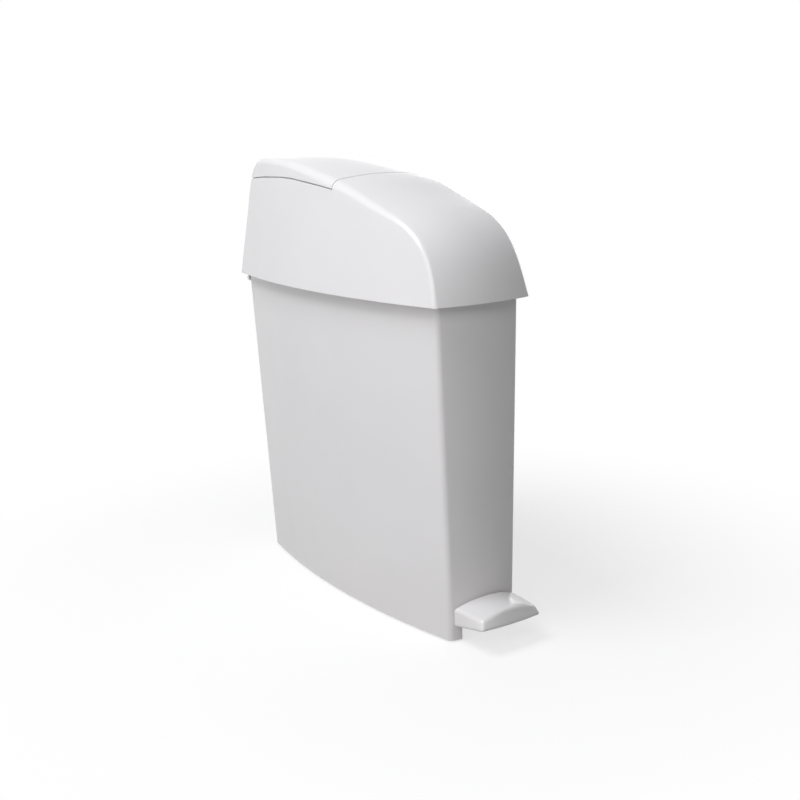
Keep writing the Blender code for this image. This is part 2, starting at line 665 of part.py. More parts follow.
def build_body():
    """Body with its raised floor, foot posts and the notch for the lever."""
    shell = add_part("body_shell", body_solid(BODY_LIFT, BODY_RIM_Z, 0.0), WHITE_SHELL)
    inside = body_solid(FLOOR_TOP_Z, BODY_RIM_Z + CUT_OVERRUN, -BODY_WALL)
    underside = body_solid(BODY_LIFT - CUT_OVERRUN, FLOOR_UNDER_Z, -BODY_WALL)
    cut(shell, add_cutter("inside", inside), add_cutter("underside", underside))
    notch_low = (-NOTCH_HALF_WIDTH, RIM_FRONT_Y - FRONT_BOW - CUT_OVERRUN, BODY_LIFT - CUT_OVERRUN)
    notch_high = (NOTCH_HALF_WIDTH, BOTTOM_FRONT_Y + 2 * BODY_WALL, NOTCH_TOP_Z)
    cut(shell, add_cutter("notch", box_shape(notch_low, notch_high)))
    for name, x, y in foot_places():
        low = Vector((x, y, BODY_LIFT))
        high = Vector((x, y, FLOOR_UNDER_Z + FLOOR_THICKNESS / 2))
        join(shell, add_cutter(f"post {name}", rod_shape(POST_RADIUS, low, high)))
        hole_start = low - Vector((0, 0, CUT_OVERRUN))
        hole_end = low + Vector((0, 0, FOOT_STEM_LENGTH + FIT_GAP))
        hole = rod_shape(FOOT_STEM_RADIUS + FIT_GAP, hole_start, hole_end)
        cut(shell, add_cutter(f"stem hole {name}", hole))
    rod_low = (0, ROD_Y, FLOOR_UNDER_Z - CUT_OVERRUN)
    rod_high = (0, ROD_Y, FLOOR_TOP_Z + CUT_OVERRUN)
    cut(shell, add_cutter("rod hole", rod_shape(BUSH_RADIUS + FIT_GAP, rod_low, rod_high)))
    for side, head in bracket_screw_places():
        hole = screw_hole(head, (0, 0, 1), BRACKET_SCREW_LENGTH)
        cut(shell, add_cutter(f"bracket screw hole {side}", hole))
    for side, head in hinge_screw_places():
        hole = screw_hole(head, (0, -1, 0), HINGE_SCREW_LENGTH)
        cut(shell, add_cutter(f"hinge screw hole {side}", hole))


def foot_places():
    """Name and place of each foot."""
    for row, x, y in (("front", FRONT_POST_X, FRONT_POST_Y), ("rear", REAR_POST_X, REAR_POST_Y)):
        yield f"{row}_left", -x, y
        yield f"{row}_right", x, y


def build_feet():
    """Four rubber feet, each a pad with a stem pressed into its post."""
    neck = FOOT_PAD_DEPTH
    tip = FOOT_PAD_DEPTH + FOOT_STEM_LENGTH
    profile = ((0.0, 0.0), (FOOT_RADIUS - FOOT_CHAMFER, 0.0), (FOOT_RADIUS, FOOT_CHAMFER),
               (FOOT_RADIUS, neck), (FOOT_STEM_RADIUS, neck), (FOOT_STEM_RADIUS, tip), (0.0, tip))
    for name, x, y in foot_places():
        add_part(f"foot_{name}", turned_shape(profile, Matrix.Translation((x, y, 0))), BLACK_RUBBER)


def lever_frame():
    """Turn and move a shape from the lever's own frame to its place at rest."""
    turn = Matrix.Rotation(-LEVER_TILT, 4, "X")
    return Matrix.Translation((0, PIVOT_Y, PIVOT_Z)) @ turn


def lever_box(low, high):
    """Box between two corners in the lever's own frame."""
    shape = box_shape(low, high)
    bmesh.ops.transform(shape, matrix=lever_frame(), verts=shape.verts)
    return shape


def pedal_screw_places():
    """Name and head place of each screw that holds the tread on the lever."""
    first = -LEVER_FRONT_REACH + PEDAL_SCREW_INSET
    for name, y in (("front", first), ("rear", first + PEDAL_SCREW_SPACING)):
        seat = Vector((0, y, -LEVER_THICKNESS / 2 - FIT_GAP))
        yield name, lever_frame() @ seat


def tread_rear_y(x):
    """Front face of the body, with the tread's gap, at a place across the bin."""
    line = plan_half(body_plan(TREAD_REAR_TOP_Z), TREAD_REAR_GAP)
    for near, far in zip(line, line[1:]):
        if near.x <= abs(x) <= far.x:
            return near.y + (far.y - near.y) * (abs(x) - near.x) / (far.x - near.x)
    return line[0].y


def tread_shape():
    """Tread as a run of sections across the bin, with a crown and sloping flanks."""
    shape = bmesh.new()
    sections = []
    for step in range(TREAD_STEPS + 1):
        share = 2 * step / TREAD_STEPS - 1
        rise = 1 - share ** 2
        wide = share * TREAD_HALF_WIDTH
        narrow = share * (TREAD_HALF_WIDTH - TREAD_TOP_INSET)
        front_y = TREAD_FRONT_Y - TREAD_FRONT_BOW * rise
        corners = ((wide, tread_rear_y(wide), TREAD_REAR_BOTTOM_Z),
                   (wide, tread_rear_y(wide), TREAD_REAR_TOP_Z + TREAD_CROWN * rise),
                   (narrow, front_y + TREAD_FRONT_SETBACK, TREAD_FRONT_TOP_Z + TREAD_CROWN * rise),
                   (wide, front_y, TREAD_FRONT_BOTTOM_Z))
        sections.append([shape.verts.new(corner) for corner in corners])
    for here, there in zip(sections, sections[1:]):
        for index in range(len(here)):
            after = (index + 1) % len(here)
            shape.faces.new((here[index], here[after], there[after], there[index]))
    shape.faces.new(sections[0])
    shape.faces.new(sections[-1][::-1])
    bmesh.ops.recalc_face_normals(shape, faces=shape.faces)
    return shape


def build_pedal():
    """Tread, lever and their screws, which turn together on the pivot pin."""
    tread = add_part("pedal_tread", tread_shape(), WHITE_SHELL, PEDAL_JOINT)
    soften(tread, TREAD_EDGE_RADIUS)
    half = LEVER_HALF_WIDTH
    pocket_low = (-half - FIT_GAP, -LEVER_FRONT_REACH - FIT_GAP, -TREAD_REAR_TOP_Z)
    pocket_high = (half + FIT_GAP, 0, LEVER_THICKNESS / 2 + FIT_GAP)
    cut(tread, add_cutter("lever pocket", lever_box(pocket_low, pocket_high), PEDAL_JOINT))
    strip = lever_box((-half, -LEVER_FRONT_REACH, -LEVER_THICKNESS / 2),
                      (half, LEVER_REAR_REACH, LEVER_THICKNESS / 2))
    lever = add_part("pedal_lever", strip, ZINC_STEEL, PEDAL_JOINT)
    hub_reach = half + LEVER_HUB_PROUD
    hub = rod_shape(LEVER_HUB_RADIUS, (-hub_reach, PIVOT_Y, PIVOT_Z), (hub_reach, PIVOT_Y, PIVOT_Z))
    join(lever, add_cutter("lever hub", hub, PEDAL_JOINT))
    bore_reach = hub_reach + CUT_OVERRUN
    bore = rod_shape(PIVOT_PIN_RADIUS + RUNNING_GAP, (-bore_reach, PIVOT_Y, PIVOT_Z),
                     (bore_reach, PIVOT_Y, PIVOT_Z))
    cut(lever, add_cutter("lever bore", bore, PEDAL_JOINT))
    upwards = lever_frame().to_3x3() @ Vector((0, 0, 1))
    for name, head in pedal_screw_places():
        hole = add_cutter(f"pedal screw hole {name}", screw_hole(head, upwards), PEDAL_JOINT)
        cut(tread, hole)
        cut(lever, hole)
        add_part(f"pedal_screw_{name}", screw_shape(head, upwards), ZINC_STEEL, PEDAL_JOINT)


def bracket_screw_places():
    """Name and head place of each screw under the bracket's flanges."""
    x = BRACKET_CHEEK_X + BRACKET_THICKNESS + BRACKET_FLANGE / 2
    z = FLOOR_UNDER_Z - BRACKET_THICKNESS - 2 * FIT_GAP
    yield "left", Vector((-x, PIVOT_Y, z))
    yield "right", Vector((x, PIVOT_Y, z))


def build_bracket():
    """Bracket under the floor, the pivot pin, its clip and the bracket's screws."""
    outer_x = BRACKET_CHEEK_X + BRACKET_THICKNESS
    front_y = PIVOT_Y - BRACKET_HALF_LENGTH
    rear_y = PIVOT_Y + BRACKET_HALF_LENGTH
    top_z = FLOOR_UNDER_Z - FIT_GAP
    block = box_shape((-outer_x, front_y, PIVOT_Z - BRACKET_EDGE), (outer_x, rear_y, top_z))
    bracket = add_part("pivot_bracket", block, ZINC_STEEL)
    flange_x = outer_x + BRACKET_FLANGE
    flange = box_shape((-flange_x, front_y, top_z - BRACKET_THICKNESS), (flange_x, rear_y, top_z))
    slot = box_shape((-BRACKET_CHEEK_X, front_y - CUT_OVERRUN, 0),
                     (BRACKET_CHEEK_X, rear_y + CUT_OVERRUN, top_z - BRACKET_THICKNESS))
    reach = outer_x + CUT_OVERRUN
    bore = rod_shape(PIVOT_PIN_RADIUS + RUNNING_GAP, (-reach, PIVOT_Y, PIVOT_Z),
                     (reach, PIVOT_Y, PIVOT_Z))
    join(bracket, add_cutter("bracket flanges", flange))
    cut(bracket, add_cutter("bracket slot", slot), add_cutter("bracket bore", bore))
    for side, head in bracket_screw_places():
        hole = screw_hole(head, (0, 0, 1), BRACKET_SCREW_LENGTH)
        cut(bracket, add_cutter(f"flange hole {side}", hole))
        screw = screw_shape(head, (0, 0, 1), BRACKET_SCREW_LENGTH)
        add_part(f"bracket_screw_{side}", screw, ZINC_STEEL)
    pin_reach = 2 * outer_x + 2 * FIT_GAP + 2 * PIN_CLIP_LENGTH
    place = axis_place(-outer_x - FIT_GAP, PIVOT_Y, PIVOT_Z)
    add_part("lever_pivot_pin", pin_shape(PIVOT_PIN_RADIUS, PIN_HEAD_RADIUS, PIN_HEAD_LENGTH,
                                          pin_reach, place), ZINC_STEEL)
    bore_radius = PIVOT_PIN_RADIUS + FIT_GAP
    corners = ((bore_radius, 0.0), (PIN_HEAD_RADIUS, 0.0), (PIN_HEAD_RADIUS, PIN_CLIP_LENGTH),
               (bore_radius, PIN_CLIP_LENGTH))
    clip = ring_shape(corners, axis_place(outer_x + FIT_GAP, PIVOT_Y, PIVOT_Z))
    add_part("pivot_pin_clip", clip, ZINC_STEEL)


def axis_place(x, y, z):
    """Frame whose Z runs along +X from a place."""
    return Matrix.Translation((x, y, z)) @ Matrix.Rotation(math.pi / 2, 4, "Y")


def pin_shape(radius, head_radius, head_length, length, place):
    """Headed pin: the head lies before the place, the shank runs on from it."""
    profile = ((0.0, -head_length), (head_radius, -head_length), (head_radius, 0.0), (radius, 0.0),
               (radius, length), (0.0, length))
    return turned_shape(profile, place)


def build_rod():
    """Push rod with a domed foot on the lever and a flat cap under the crank."""
    lever_top = PIVOT_Z - ROD_ARM * math.tan(LEVER_TILT) + LEVER_THICKNESS / 2 / math.cos(LEVER_TILT)
    foot_low = lever_top + FIT_GAP
    socket = ROD_RADIUS + FIT_GAP
    foot_floor = ROD_FOOT_HEIGHT - ROD_CAP_BORE_DEPTH
    foot_profile = [(ROD_FOOT_RADIUS * wide, foot_floor * high) for wide, high in ROD_DOME_shares]
    foot_profile += [(ROD_FOOT_RADIUS, ROD_FOOT_HEIGHT), (socket, ROD_FOOT_HEIGHT),
                     (socket, foot_floor), (0.0, foot_floor)]
    foot = turned_shape(foot_profile, Matrix.Translation((0, ROD_Y, foot_low)))
    add_part("rod_foot_cap", foot, GREY_PLASTIC, ROD_JOINT)
    cap_low = ROD_TOP_Z - ROD_CAP_HEIGHT
    edge = ROD_CAP_RADIUS * ROD_CAP_TOP_share
    cap_profile = ((0.0, ROD_CAP_BORE_DEPTH), (socket, ROD_CAP_BORE_DEPTH), (socket, 0.0),
                   (ROD_CAP_RADIUS, 0.0), (ROD_CAP_RADIUS, ROD_CAP_BORE_DEPTH),
                   (edge, ROD_CAP_HEIGHT), (0.0, ROD_CAP_HEIGHT))
    cap = turned_shape(cap_profile, Matrix.Translation((0, ROD_Y, cap_low)))
    add_part("rod_top_cap", cap, GREY_PLASTIC, ROD_JOINT)
    rod_low = (0, ROD_Y, foot_low + foot_floor + FIT_GAP)
    rod_high = (0, ROD_Y, cap_low + ROD_CAP_BORE_DEPTH - FIT_GAP)
    add_part("push_rod", rod_shape(ROD_RADIUS, rod_low, rod_high), ZINC_STEEL, ROD_JOINT)


def bush_shape(seat_z):
    """Flanged bush whose flange sits on a plate."""
    bore = ROD_RADIUS + RUNNING_GAP
    corners = ((bore, -BUSH_LENGTH), (BUSH_RADIUS, -BUSH_LENGTH), (BUSH_RADIUS, 0.0),
               (BUSH_FLANGE_RADIUS, 0.0), (BUSH_FLANGE_RADIUS, BUSH_FLANGE_HEIGHT),
               (bore, BUSH_FLANGE_HEIGHT))
    return ring_shape(corners, Matrix.Translation((0, ROD_Y, seat_z)))


def build_rod_guides():
    """Cover channel on the rear wall and the two bushes that the rod slides in."""
    low_z = FLOOR_TOP_Z + FIT_GAP
    rear_y = RIM_REAR_Y + REAR_BOW + CUT_OVERRUN
    outer = box_shape((-CHANNEL_HALF_WIDTH, CHANNEL_FRONT_Y, low_z),
                      (CHANNEL_HALF_WIDTH, rear_y, CHANNEL_TOP_Z))
    channel = add_part("rod_guide_channel", outer, WHITE_INNER)
    inner_x = CHANNEL_HALF_WIDTH - CHANNEL_WALL
    inner = box_shape((-inner_x, CHANNEL_FRONT_Y + CHANNEL_WALL, low_z - CUT_OVERRUN),
                      (inner_x, rear_y + CUT_OVERRUN, CHANNEL_TOP_Z - CHANNEL_TOP_THICKNESS))
    hole = rod_shape(BUSH_RADIUS + FIT_GAP, (0, ROD_Y, CHANNEL_TOP_Z - 2 * CHANNEL_TOP_THICKNESS),
                     (0, ROD_Y, CHANNEL_TOP_Z + CUT_OVERRUN))
    room = body_solid(FLOOR_UNDER_Z, BODY_RIM_Z, -BODY_WALL - FIT_GAP)
    combine(channel, add_cutter("room for the channel", room), "INTERSECT")
    cut(channel, add_cutter("channel inside", inner), add_cutter("channel bush hole", hole))
    add_part("rod_bush_lower", bush_shape(FLOOR_TOP_Z + FIT_GAP), GREY_PLASTIC)
    add_part("rod_bush_upper", bush_shape(CHANNEL_TOP_Z + FIT_GAP), GREY_PLASTIC)


def build_bag_ring():
    """Ring that hangs in the body's mouth by a flange and clamps the bag."""
    low_z = BODY_RIM_Z - RING_DEPTH
    seat_z = BODY_RIM_Z + FIT_GAP
    top_z = seat_z + RING_FLANGE
    ring = add_part("bag_ring", body_solid(low_z, top_z, -BODY_WALL - RING_GAP), GREY_PLASTIC)
    join(ring, add_cutter("ring flange", body_solid(seat_z, top_z, -FIT_GAP)))
    mouth = body_solid(low_z - CUT_OVERRUN, top_z + CUT_OVERRUN,
                       -BODY_WALL - RING_GAP - RING_THICKNESS)
    cut(ring, add_cutter("ring mouth", mouth))


def build_hood():
    """Hood shell with its ears for the flap's pin and for the two rear hinges."""
    hood = add_part("hood_shell", hood_sheet(0.0), WHITE_SHELL, HOOD_JOINT)
    thicken(hood, HOOD_WALL)
    cut(hood, add_cutter("flap opening", flap_region(SEAM_GAP / 2), HOOD_JOINT))
    for side in (-1, 1):
        inner_x = side * (FLAP_BARREL_HALF + FIT_GAP)
        outer_x = inner_x + side * EAR_WIDTH
        knuckle = rod_shape(KNUCKLE_RADIUS, (inner_x, FLAP_AXIS_Y, FLAP_AXIS_Z),
                            (outer_x, FLAP_AXIS_Y, FLAP_AXIS_Z))
        web_top = FLAP_AXIS_Z - KNUCKLE_RADIUS * WEB_TOP_share
        web = box_shape((min(inner_x, outer_x), FLAP_AXIS_Y - WEB_DEPTH, web_top - WEB_HEIGHT),
                        (max(inner_x, outer_x), FLAP_AXIS_Y + KNUCKLE_RADIUS / 2, web_top))
        join(hood, add_cutter(f"flap ear {side}", knuckle, HOOD_JOINT),
             add_cutter(f"flap ear web {side}", web, HOOD_JOINT))
        for place_x in hood_ear_places(side):
            low_x = place_x - HOOD_EAR_WIDTH / 2
            high_x = place_x + HOOD_EAR_WIDTH / 2
            ear = rod_shape(HINGE_BARREL_RADIUS, (low_x, HOOD_AXIS_Y, HOOD_AXIS_Z),
                            (high_x, HOOD_AXIS_Y, HOOD_AXIS_Z))
            stem = box_shape((low_x, HOOD_AXIS_Y - HOOD_EAR_DEPTH / 2, HOOD_AXIS_Z),
                             (high_x, HOOD_AXIS_Y + HOOD_EAR_DEPTH / 2, SKIRT_Z + HOOD_EAR_RISE))
            name = f"{place_x:.4f}"
            join(hood, add_cutter(f"hinge ear {name}", ear, HOOD_JOINT),
                 add_cutter(f"hinge ear stem {name}", stem, HOOD_JOINT))
    reach = HOOD_HALF_WIDTH
    cut(hood, add_cutter("flap pin bore", rod_shape(FLAP_PIN_RADIUS + RUNNING_GAP,
                                                    (-reach, FLAP_AXIS_Y, FLAP_AXIS_Z),
                                                    (reach, FLAP_AXIS_Y, FLAP_AXIS_Z)), HOOD_JOINT),
        add_cutter("hood pin bore", rod_shape(HINGE_PIN_RADIUS + RUNNING_GAP,
                                              (-reach, HOOD_AXIS_Y, HOOD_AXIS_Z),
                                              (reach, HOOD_AXIS_Y, HOOD_AXIS_Z)), HOOD_JOINT))
    pin_start = -FLAP_BARREL_HALF - EAR_WIDTH - 2 * FIT_GAP
    pin = pin_shape(FLAP_PIN_RADIUS, KNUCKLE_RADIUS * PIN_HEAD_share, PIN_HEAD_LENGTH,
                    PIN_HEAD_LENGTH - 2 * pin_start,
                    axis_place(pin_start, FLAP_AXIS_Y, FLAP_AXIS_Z))
    add_part("flap_hinge_pin", pin, ZINC_STEEL, HOOD_JOINT)


def hood_ear_places(side):
    """Middles of the two hood ears beside one hinge block."""
    step = HINGE_HALF_WIDTH + FIT_GAP + HOOD_EAR_WIDTH / 2
    return side * (HINGE_X - step), side * (HINGE_X + step)


def build_hood_frame():
    """Frame inside the hood that stands on the bag ring and closes the hood's underside."""
    low_z = BODY_RIM_Z + RING_FLANGE + 2 * FIT_GAP
    high_z = low_z + FRAME_THICKNESS
    inside = hood_sheet(HOOD_WALL + FRAME_SIDE_GAP)
    rim = [edge for edge in inside.edges if edge.is_boundary]
    bmesh.ops.contextual_create(inside, geom=rim)
    bmesh.ops.recalc_face_normals(inside, faces=inside.faces)
    frame = add_part("hood_frame", inside, WHITE_INNER, HOOD_JOINT)
    layer = box_shape((-HOOD_HALF_WIDTH, -HOOD_HALF_DEPTH, low_z),
                      (HOOD_HALF_WIDTH, HOOD_HALF_DEPTH, high_z))
    combine(frame, add_cutter("frame layer", layer, HOOD_JOINT), "INTERSECT")
    mouth = body_solid(low_z - CUT_OVERRUN, high_z + CUT_OVERRUN, -FRAME_MARGIN)
    cut(frame, add_cutter("frame mouth", mouth, HOOD_JOINT))


def build_flap_seat():
    """Ledge under the seam on which the closed flap rests."""
    seat = add_part("flap_seat", hood_sheet(HOOD_WALL + SEAT_CLEARANCE), WHITE_INNER, HOOD_JOINT)
    thicken(seat, SEAT_THICKNESS)
    combine(seat, add_cutter("seat reach", flap_region(SEAT_LEDGE), HOOD_JOINT), "INTERSECT")
    cut(seat, add_cutter("seat opening", flap_region(-SEAT_UPSTAND), HOOD_JOINT))
    hinge_room = box_shape((-SEAT_HINGE_HALF_WIDTH, FLAP_AXIS_Y - SEAT_HINGE_DEPTH, SKIRT_Z),
                           (SEAT_HINGE_HALF_WIDTH, HOOD_HALF_DEPTH, SKIRT_Z + 2 * HOOD_RISE))
    cut(seat, add_cutter("hinge room", hinge_room, HOOD_JOINT))


def crank_screw_places():
    """Name and head place of each screw that holds the crank to the flap."""
    z = CRANK_PLATE_TOP_Z - CRANK_PLATE_THICKNESS - FIT_GAP
    yield "front", Vector((0, CRANK_PLATE_FRONT_Y + CRANK_SCREW_INSET, z))
    yield "rear", Vector((0, CRANK_PLATE_REAR_Y - 2 * CRANK_SCREW_INSET, z))


def build_flap():
    """Flap with its hinge barrel and the bosses for the crank."""
    flap = add_part("flap_lid", hood_sheet(0.0), WHITE_SHELL, FLAP_JOINT)
    thicken(flap, HOOD_WALL)
    combine(flap, add_cutter("flap outline", flap_region(-SEAM_GAP / 2), FLAP_JOINT), "INTERSECT")
    barrel = rod_shape(KNUCKLE_RADIUS, (-FLAP_BARREL_HALF, FLAP_AXIS_Y, FLAP_AXIS_Z),
                       (FLAP_BARREL_HALF, FLAP_AXIS_Y, FLAP_AXIS_Z))
    web = box_shape((-FLAP_BARREL_HALF, FLAP_AXIS_Y - WEB_DEPTH, FLAP_AXIS_Z + 2 * FIT_GAP),
                    (FLAP_BARREL_HALF, FLAP_AXIS_Y, FLAP_AXIS_Z + KNUCKLE_RADIUS))
    join(flap, add_cutter("flap barrel", barrel, FLAP_JOINT),
         add_cutter("flap web", web, FLAP_JOINT))
    for name, head in crank_screw_places():
        low = Vector((head.x, head.y, CRANK_PLATE_TOP_Z + FIT_GAP))
        high = low + Vector((0, 0, CRANK_BOSS_HEIGHT + HOOD_WALL / 2))
        boss = rod_shape(CRANK_BOSS_RADIUS, low, high)
        join(flap, add_cutter(f"crank boss {name}", boss, FLAP_JOINT))
        hole = screw_hole(head, (0, 0, 1), CRANK_SCREW_LENGTH)
        cut(flap, add_cutter(f"crank boss hole {name}", hole, FLAP_JOINT))
    reach = FLAP_BARREL_HALF + CUT_OVERRUN
    bore = rod_shape(FLAP_PIN_RADIUS + RUNNING_GAP, (-reach, FLAP_AXIS_Y, FLAP_AXIS_Z),
                     (reach, FLAP_AXIS_Y, FLAP_AXIS_Z))
    cut(flap, add_cutter("flap bore", bore, FLAP_JOINT))


def build_crank():
    """Crank under the flap whose round tip the rod pushes up."""
    top = CRANK_PLATE_TOP_Z
    outline = [(CRANK_PLATE_FRONT_Y, top), (CRANK_PLATE_REAR_Y, top)]
    for step in range(ROUND_STEPS // 2 + 1):
        angle = -math.tau * step / ROUND_STEPS
        outline.append((CRANK_TIP_Y + CRANK_TIP_RADIUS * math.cos(angle),
                        CRANK_TIP_Z + CRANK_TIP_RADIUS * math.sin(angle)))
    outline.append((CRANK_PLATE_REAR_Y - CRANK_ARM_DEPTH, top - CRANK_PLATE_THICKNESS))
    outline.append((CRANK_PLATE_FRONT_Y, top - CRANK_PLATE_THICKNESS))
    crank = add_part("flap_crank", slab_shape(outline, CRANK_HALF_WIDTH), GREY_PLASTIC, FLAP_JOINT)
    for name, head in crank_screw_places():
        hole = screw_hole(head, (0, 0, 1), CRANK_SCREW_LENGTH)
        cut(crank, add_cutter(f"crank hole {name}", hole, FLAP_JOINT))
        screw = screw_shape(head, (0, 0, 1), CRANK_SCREW_LENGTH)
        add_part(f"crank_screw_{name}", screw, ZINC_STEEL, FLAP_JOINT)


def hinge_screw_places():
    """Name and head place of each screw through a hinge block."""
    z = HOOD_AXIS_Z - HINGE_SCREW_DROP
    yield "left", Vector((-HINGE_X, HINGE_FACE_Y + FIT_GAP, z))
    yield "right", Vector((HINGE_X, HINGE_FACE_Y + FIT_GAP, z))


def build_hinges():
    """Two hinge blocks on the body's rear wall with their pins and screws."""
    low_z = HOOD_AXIS_Z - HINGE_BLOCK_HEIGHT
    top_z = HOOD_AXIS_Z + HINGE_BARREL_RADIUS / 2
    face_z = HOOD_AXIS_Z - HINGE_BARREL_RADIUS
    wall_y = RIM_REAR_Y - BODY_WALL
    outline = ((wall_y, low_z), (HINGE_FACE_Y, low_z), (HINGE_FACE_Y, face_z),
               (HOOD_AXIS_Y, face_z), (HOOD_AXIS_Y, top_z), (wall_y, top_z))
    body_room = body_solid(BODY_LIFT, BODY_RIM_Z, FIT_GAP)
    clear = add_cutter("body with hinge gap", body_room)
    for side, head in hinge_screw_places():
        middle = head.x
        block = slab_shape(outline, HINGE_HALF_WIDTH, middle)
        hinge = add_part(f"hood_hinge_block_{side}", block, WHITE_SHELL)
        low_x = middle - HINGE_HALF_WIDTH
        high_x = middle + HINGE_HALF_WIDTH
        barrel = rod_shape(HINGE_BARREL_RADIUS, (low_x, HOOD_AXIS_Y, HOOD_AXIS_Z),
                           (high_x, HOOD_AXIS_Y, HOOD_AXIS_Z))
        bore = rod_shape(HINGE_PIN_RADIUS + RUNNING_GAP,
                         (low_x - CUT_OVERRUN, HOOD_AXIS_Y, HOOD_AXIS_Z),
                         (high_x + CUT_OVERRUN, HOOD_AXIS_Y, HOOD_AXIS_Z))
        hole = screw_hole(head, (0, -1, 0), HINGE_SCREW_LENGTH)
        join(hinge, add_cutter(f"hinge barrel {side}", barrel))
        cut(hinge, clear, add_cutter(f"hinge bore {side}", bore),
            add_cutter(f"block screw hole {side}", hole))
        screw = screw_shape(head, (0, -1, 0), HINGE_SCREW_LENGTH)
        add_part(f"hinge_screw_{side}", screw, ZINC_STEEL)
        half_span = HINGE_HALF_WIDTH + 2 * FIT_GAP + HOOD_EAR_WIDTH
        pin = pin_shape(HINGE_PIN_RADIUS, HINGE_PIN_HEAD_RADIUS, PIN_HEAD_LENGTH, 2 * half_span,
                        axis_place(middle - half_span, HOOD_AXIS_Y, HOOD_AXIS_Z))
        add_part(f"hood_hinge_pin_{side}", pin, ZINC_STEEL)


def add_joint(name, place, parent):
    """Empty on a joint's axis."""
    made = bpy.data.objects.new(name, None)
    PARTS.objects.link(made)
    made.parent = parent
    made.location = Vector(place) - (world_place(parent) if parent else Vector())
    return made


clear_scene()
PARTS = new_collection("slim_pedal_bin")
CUTTERS = new_collection("cutters")
ASSEMBLY = bpy.data.objects.new("assembly", None)
PARTS.objects.link(ASSEMBLY)
ASSEMBLY.location = (0, ORIGIN_SHIFT, 0)
PEDAL_JOINT = add_joint("pedal_pivot", (0, PIVOT_Y, PIVOT_Z), ASSEMBLY)
ROD_JOINT = add_joint("rod_slide", (0, ROD_Y, FLOOR_TOP_Z), ASSEMBLY)
HOOD_JOINT = add_joint("hood_hinge", (0, HOOD_AXIS_Y, HOOD_AXIS_Z), ASSEMBLY)
FLAP_JOINT = add_joint("flap_hinge", (0, FLAP_AXIS_Y, FLAP_AXIS_Z), HOOD_JOINT)

build_body()
build_feet()
build_pedal()
build_bracket()
build_rod()
build_rod_guides()
build_bag_ring()
build_hood()
build_hood_frame()
build_flap_seat()
build_flap()
build_crank()
build_hinges()
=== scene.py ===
"""Studio scene of a slim pedal bin: fine pieces, finishes, stage, lights and camera.

Every piece is first shaped in the maker's own frame, with the widest part of the bin near the
middle, and then moved back by ASSEMBLY_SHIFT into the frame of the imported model.
"""

import logging
import math
from dataclasses import dataclass
from enum import Enum
from functools import cached_property
from typing import Any, Callable, Iterator, Sequence

import bmesh
import bpy
import numpy as np
from mathutils import Matrix, Vector


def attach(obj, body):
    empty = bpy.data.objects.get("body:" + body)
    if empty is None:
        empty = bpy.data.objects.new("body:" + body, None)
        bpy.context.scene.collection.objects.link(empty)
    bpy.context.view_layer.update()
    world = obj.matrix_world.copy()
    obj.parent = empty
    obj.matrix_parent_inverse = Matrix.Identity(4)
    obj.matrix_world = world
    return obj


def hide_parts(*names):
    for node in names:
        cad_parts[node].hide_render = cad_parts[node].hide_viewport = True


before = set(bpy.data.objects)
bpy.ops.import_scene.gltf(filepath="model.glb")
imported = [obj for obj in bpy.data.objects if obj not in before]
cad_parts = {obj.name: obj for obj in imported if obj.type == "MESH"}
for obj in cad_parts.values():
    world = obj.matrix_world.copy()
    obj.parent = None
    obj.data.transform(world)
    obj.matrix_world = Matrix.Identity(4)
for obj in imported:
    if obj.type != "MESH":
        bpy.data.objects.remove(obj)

LOG = logging.getLogger("pedal_bin")
ASSEMBLY_SHIFT = Vector((0.0, 0.01875, 0.0))
SHARP_ANGLE = math.radians(38.0)
HAIRLINE = 1e-6
Point = tuple[float, float]
Color = tuple[float, float, float, float]


class Rider(Enum):
    """Moving body that a piece travels with."""

    BODY = "body"
    PEDAL = "pedal"
    ROD = "rod"
    HOOD = "hood"
    FLAP = "flap"


class Union(Enum):
    """Way in which one solid acts on another."""

    JOIN = "UNION"
    CARVE = "DIFFERENCE"
    KEEP = "INTERSECT"


# ---------------------------------------------------------------- material signals


class Signal:
    """Output of a material node that can stand in sums, so that an expression adds Math nodes."""

    def __init__(self, bench: "Bench", socket: bpy.types.NodeSocket) -> None:
        """Keep the node bench and the output socket."""
        self.bench = bench
        self.socket = socket

    def _sum(self, operation: str, first: Any, second: Any) -> "Signal":
        """Add one Math node.

        Args:
            operation: Name of the Math node's operation.
            first: Signal or number on the first input.
            second: Signal or number on the second input.

        Returns:
            The node's result.
        """
        made = self.bench.node("ShaderNodeMath", {"operation": operation}, {0: first, 1: second})
        return Signal(self.bench, made.outputs[0])

    def __add__(self, other: Any) -> "Signal":
        """Signal plus another value."""
        return self._sum("ADD", self, other)

    def __radd__(self, other: Any) -> "Signal":
        """Another value plus the signal."""
        return self._sum("ADD", other, self)

    def __sub__(self, other: Any) -> "Signal":
        """Signal minus another value."""
        return self._sum("SUBTRACT", self, other)

    def __rsub__(self, other: Any) -> "Signal":
        """Another value minus the signal."""
        return self._sum("SUBTRACT", other, self)

    def __mul__(self, other: Any) -> "Signal":
        """Signal times another value."""
        return self._sum("MULTIPLY", self, other)

    def __rmul__(self, other: Any) -> "Signal":
        """Another value times the signal."""
        return self._sum("MULTIPLY", other, self)

    def __truediv__(self, other: Any) -> "Signal":
        """Signal divided by another value."""
        return self._sum("DIVIDE", self, other)

    def __pow__(self, other: Any) -> "Signal":
        """Signal raised to a power."""
        return self._sum("POWER", self, other)


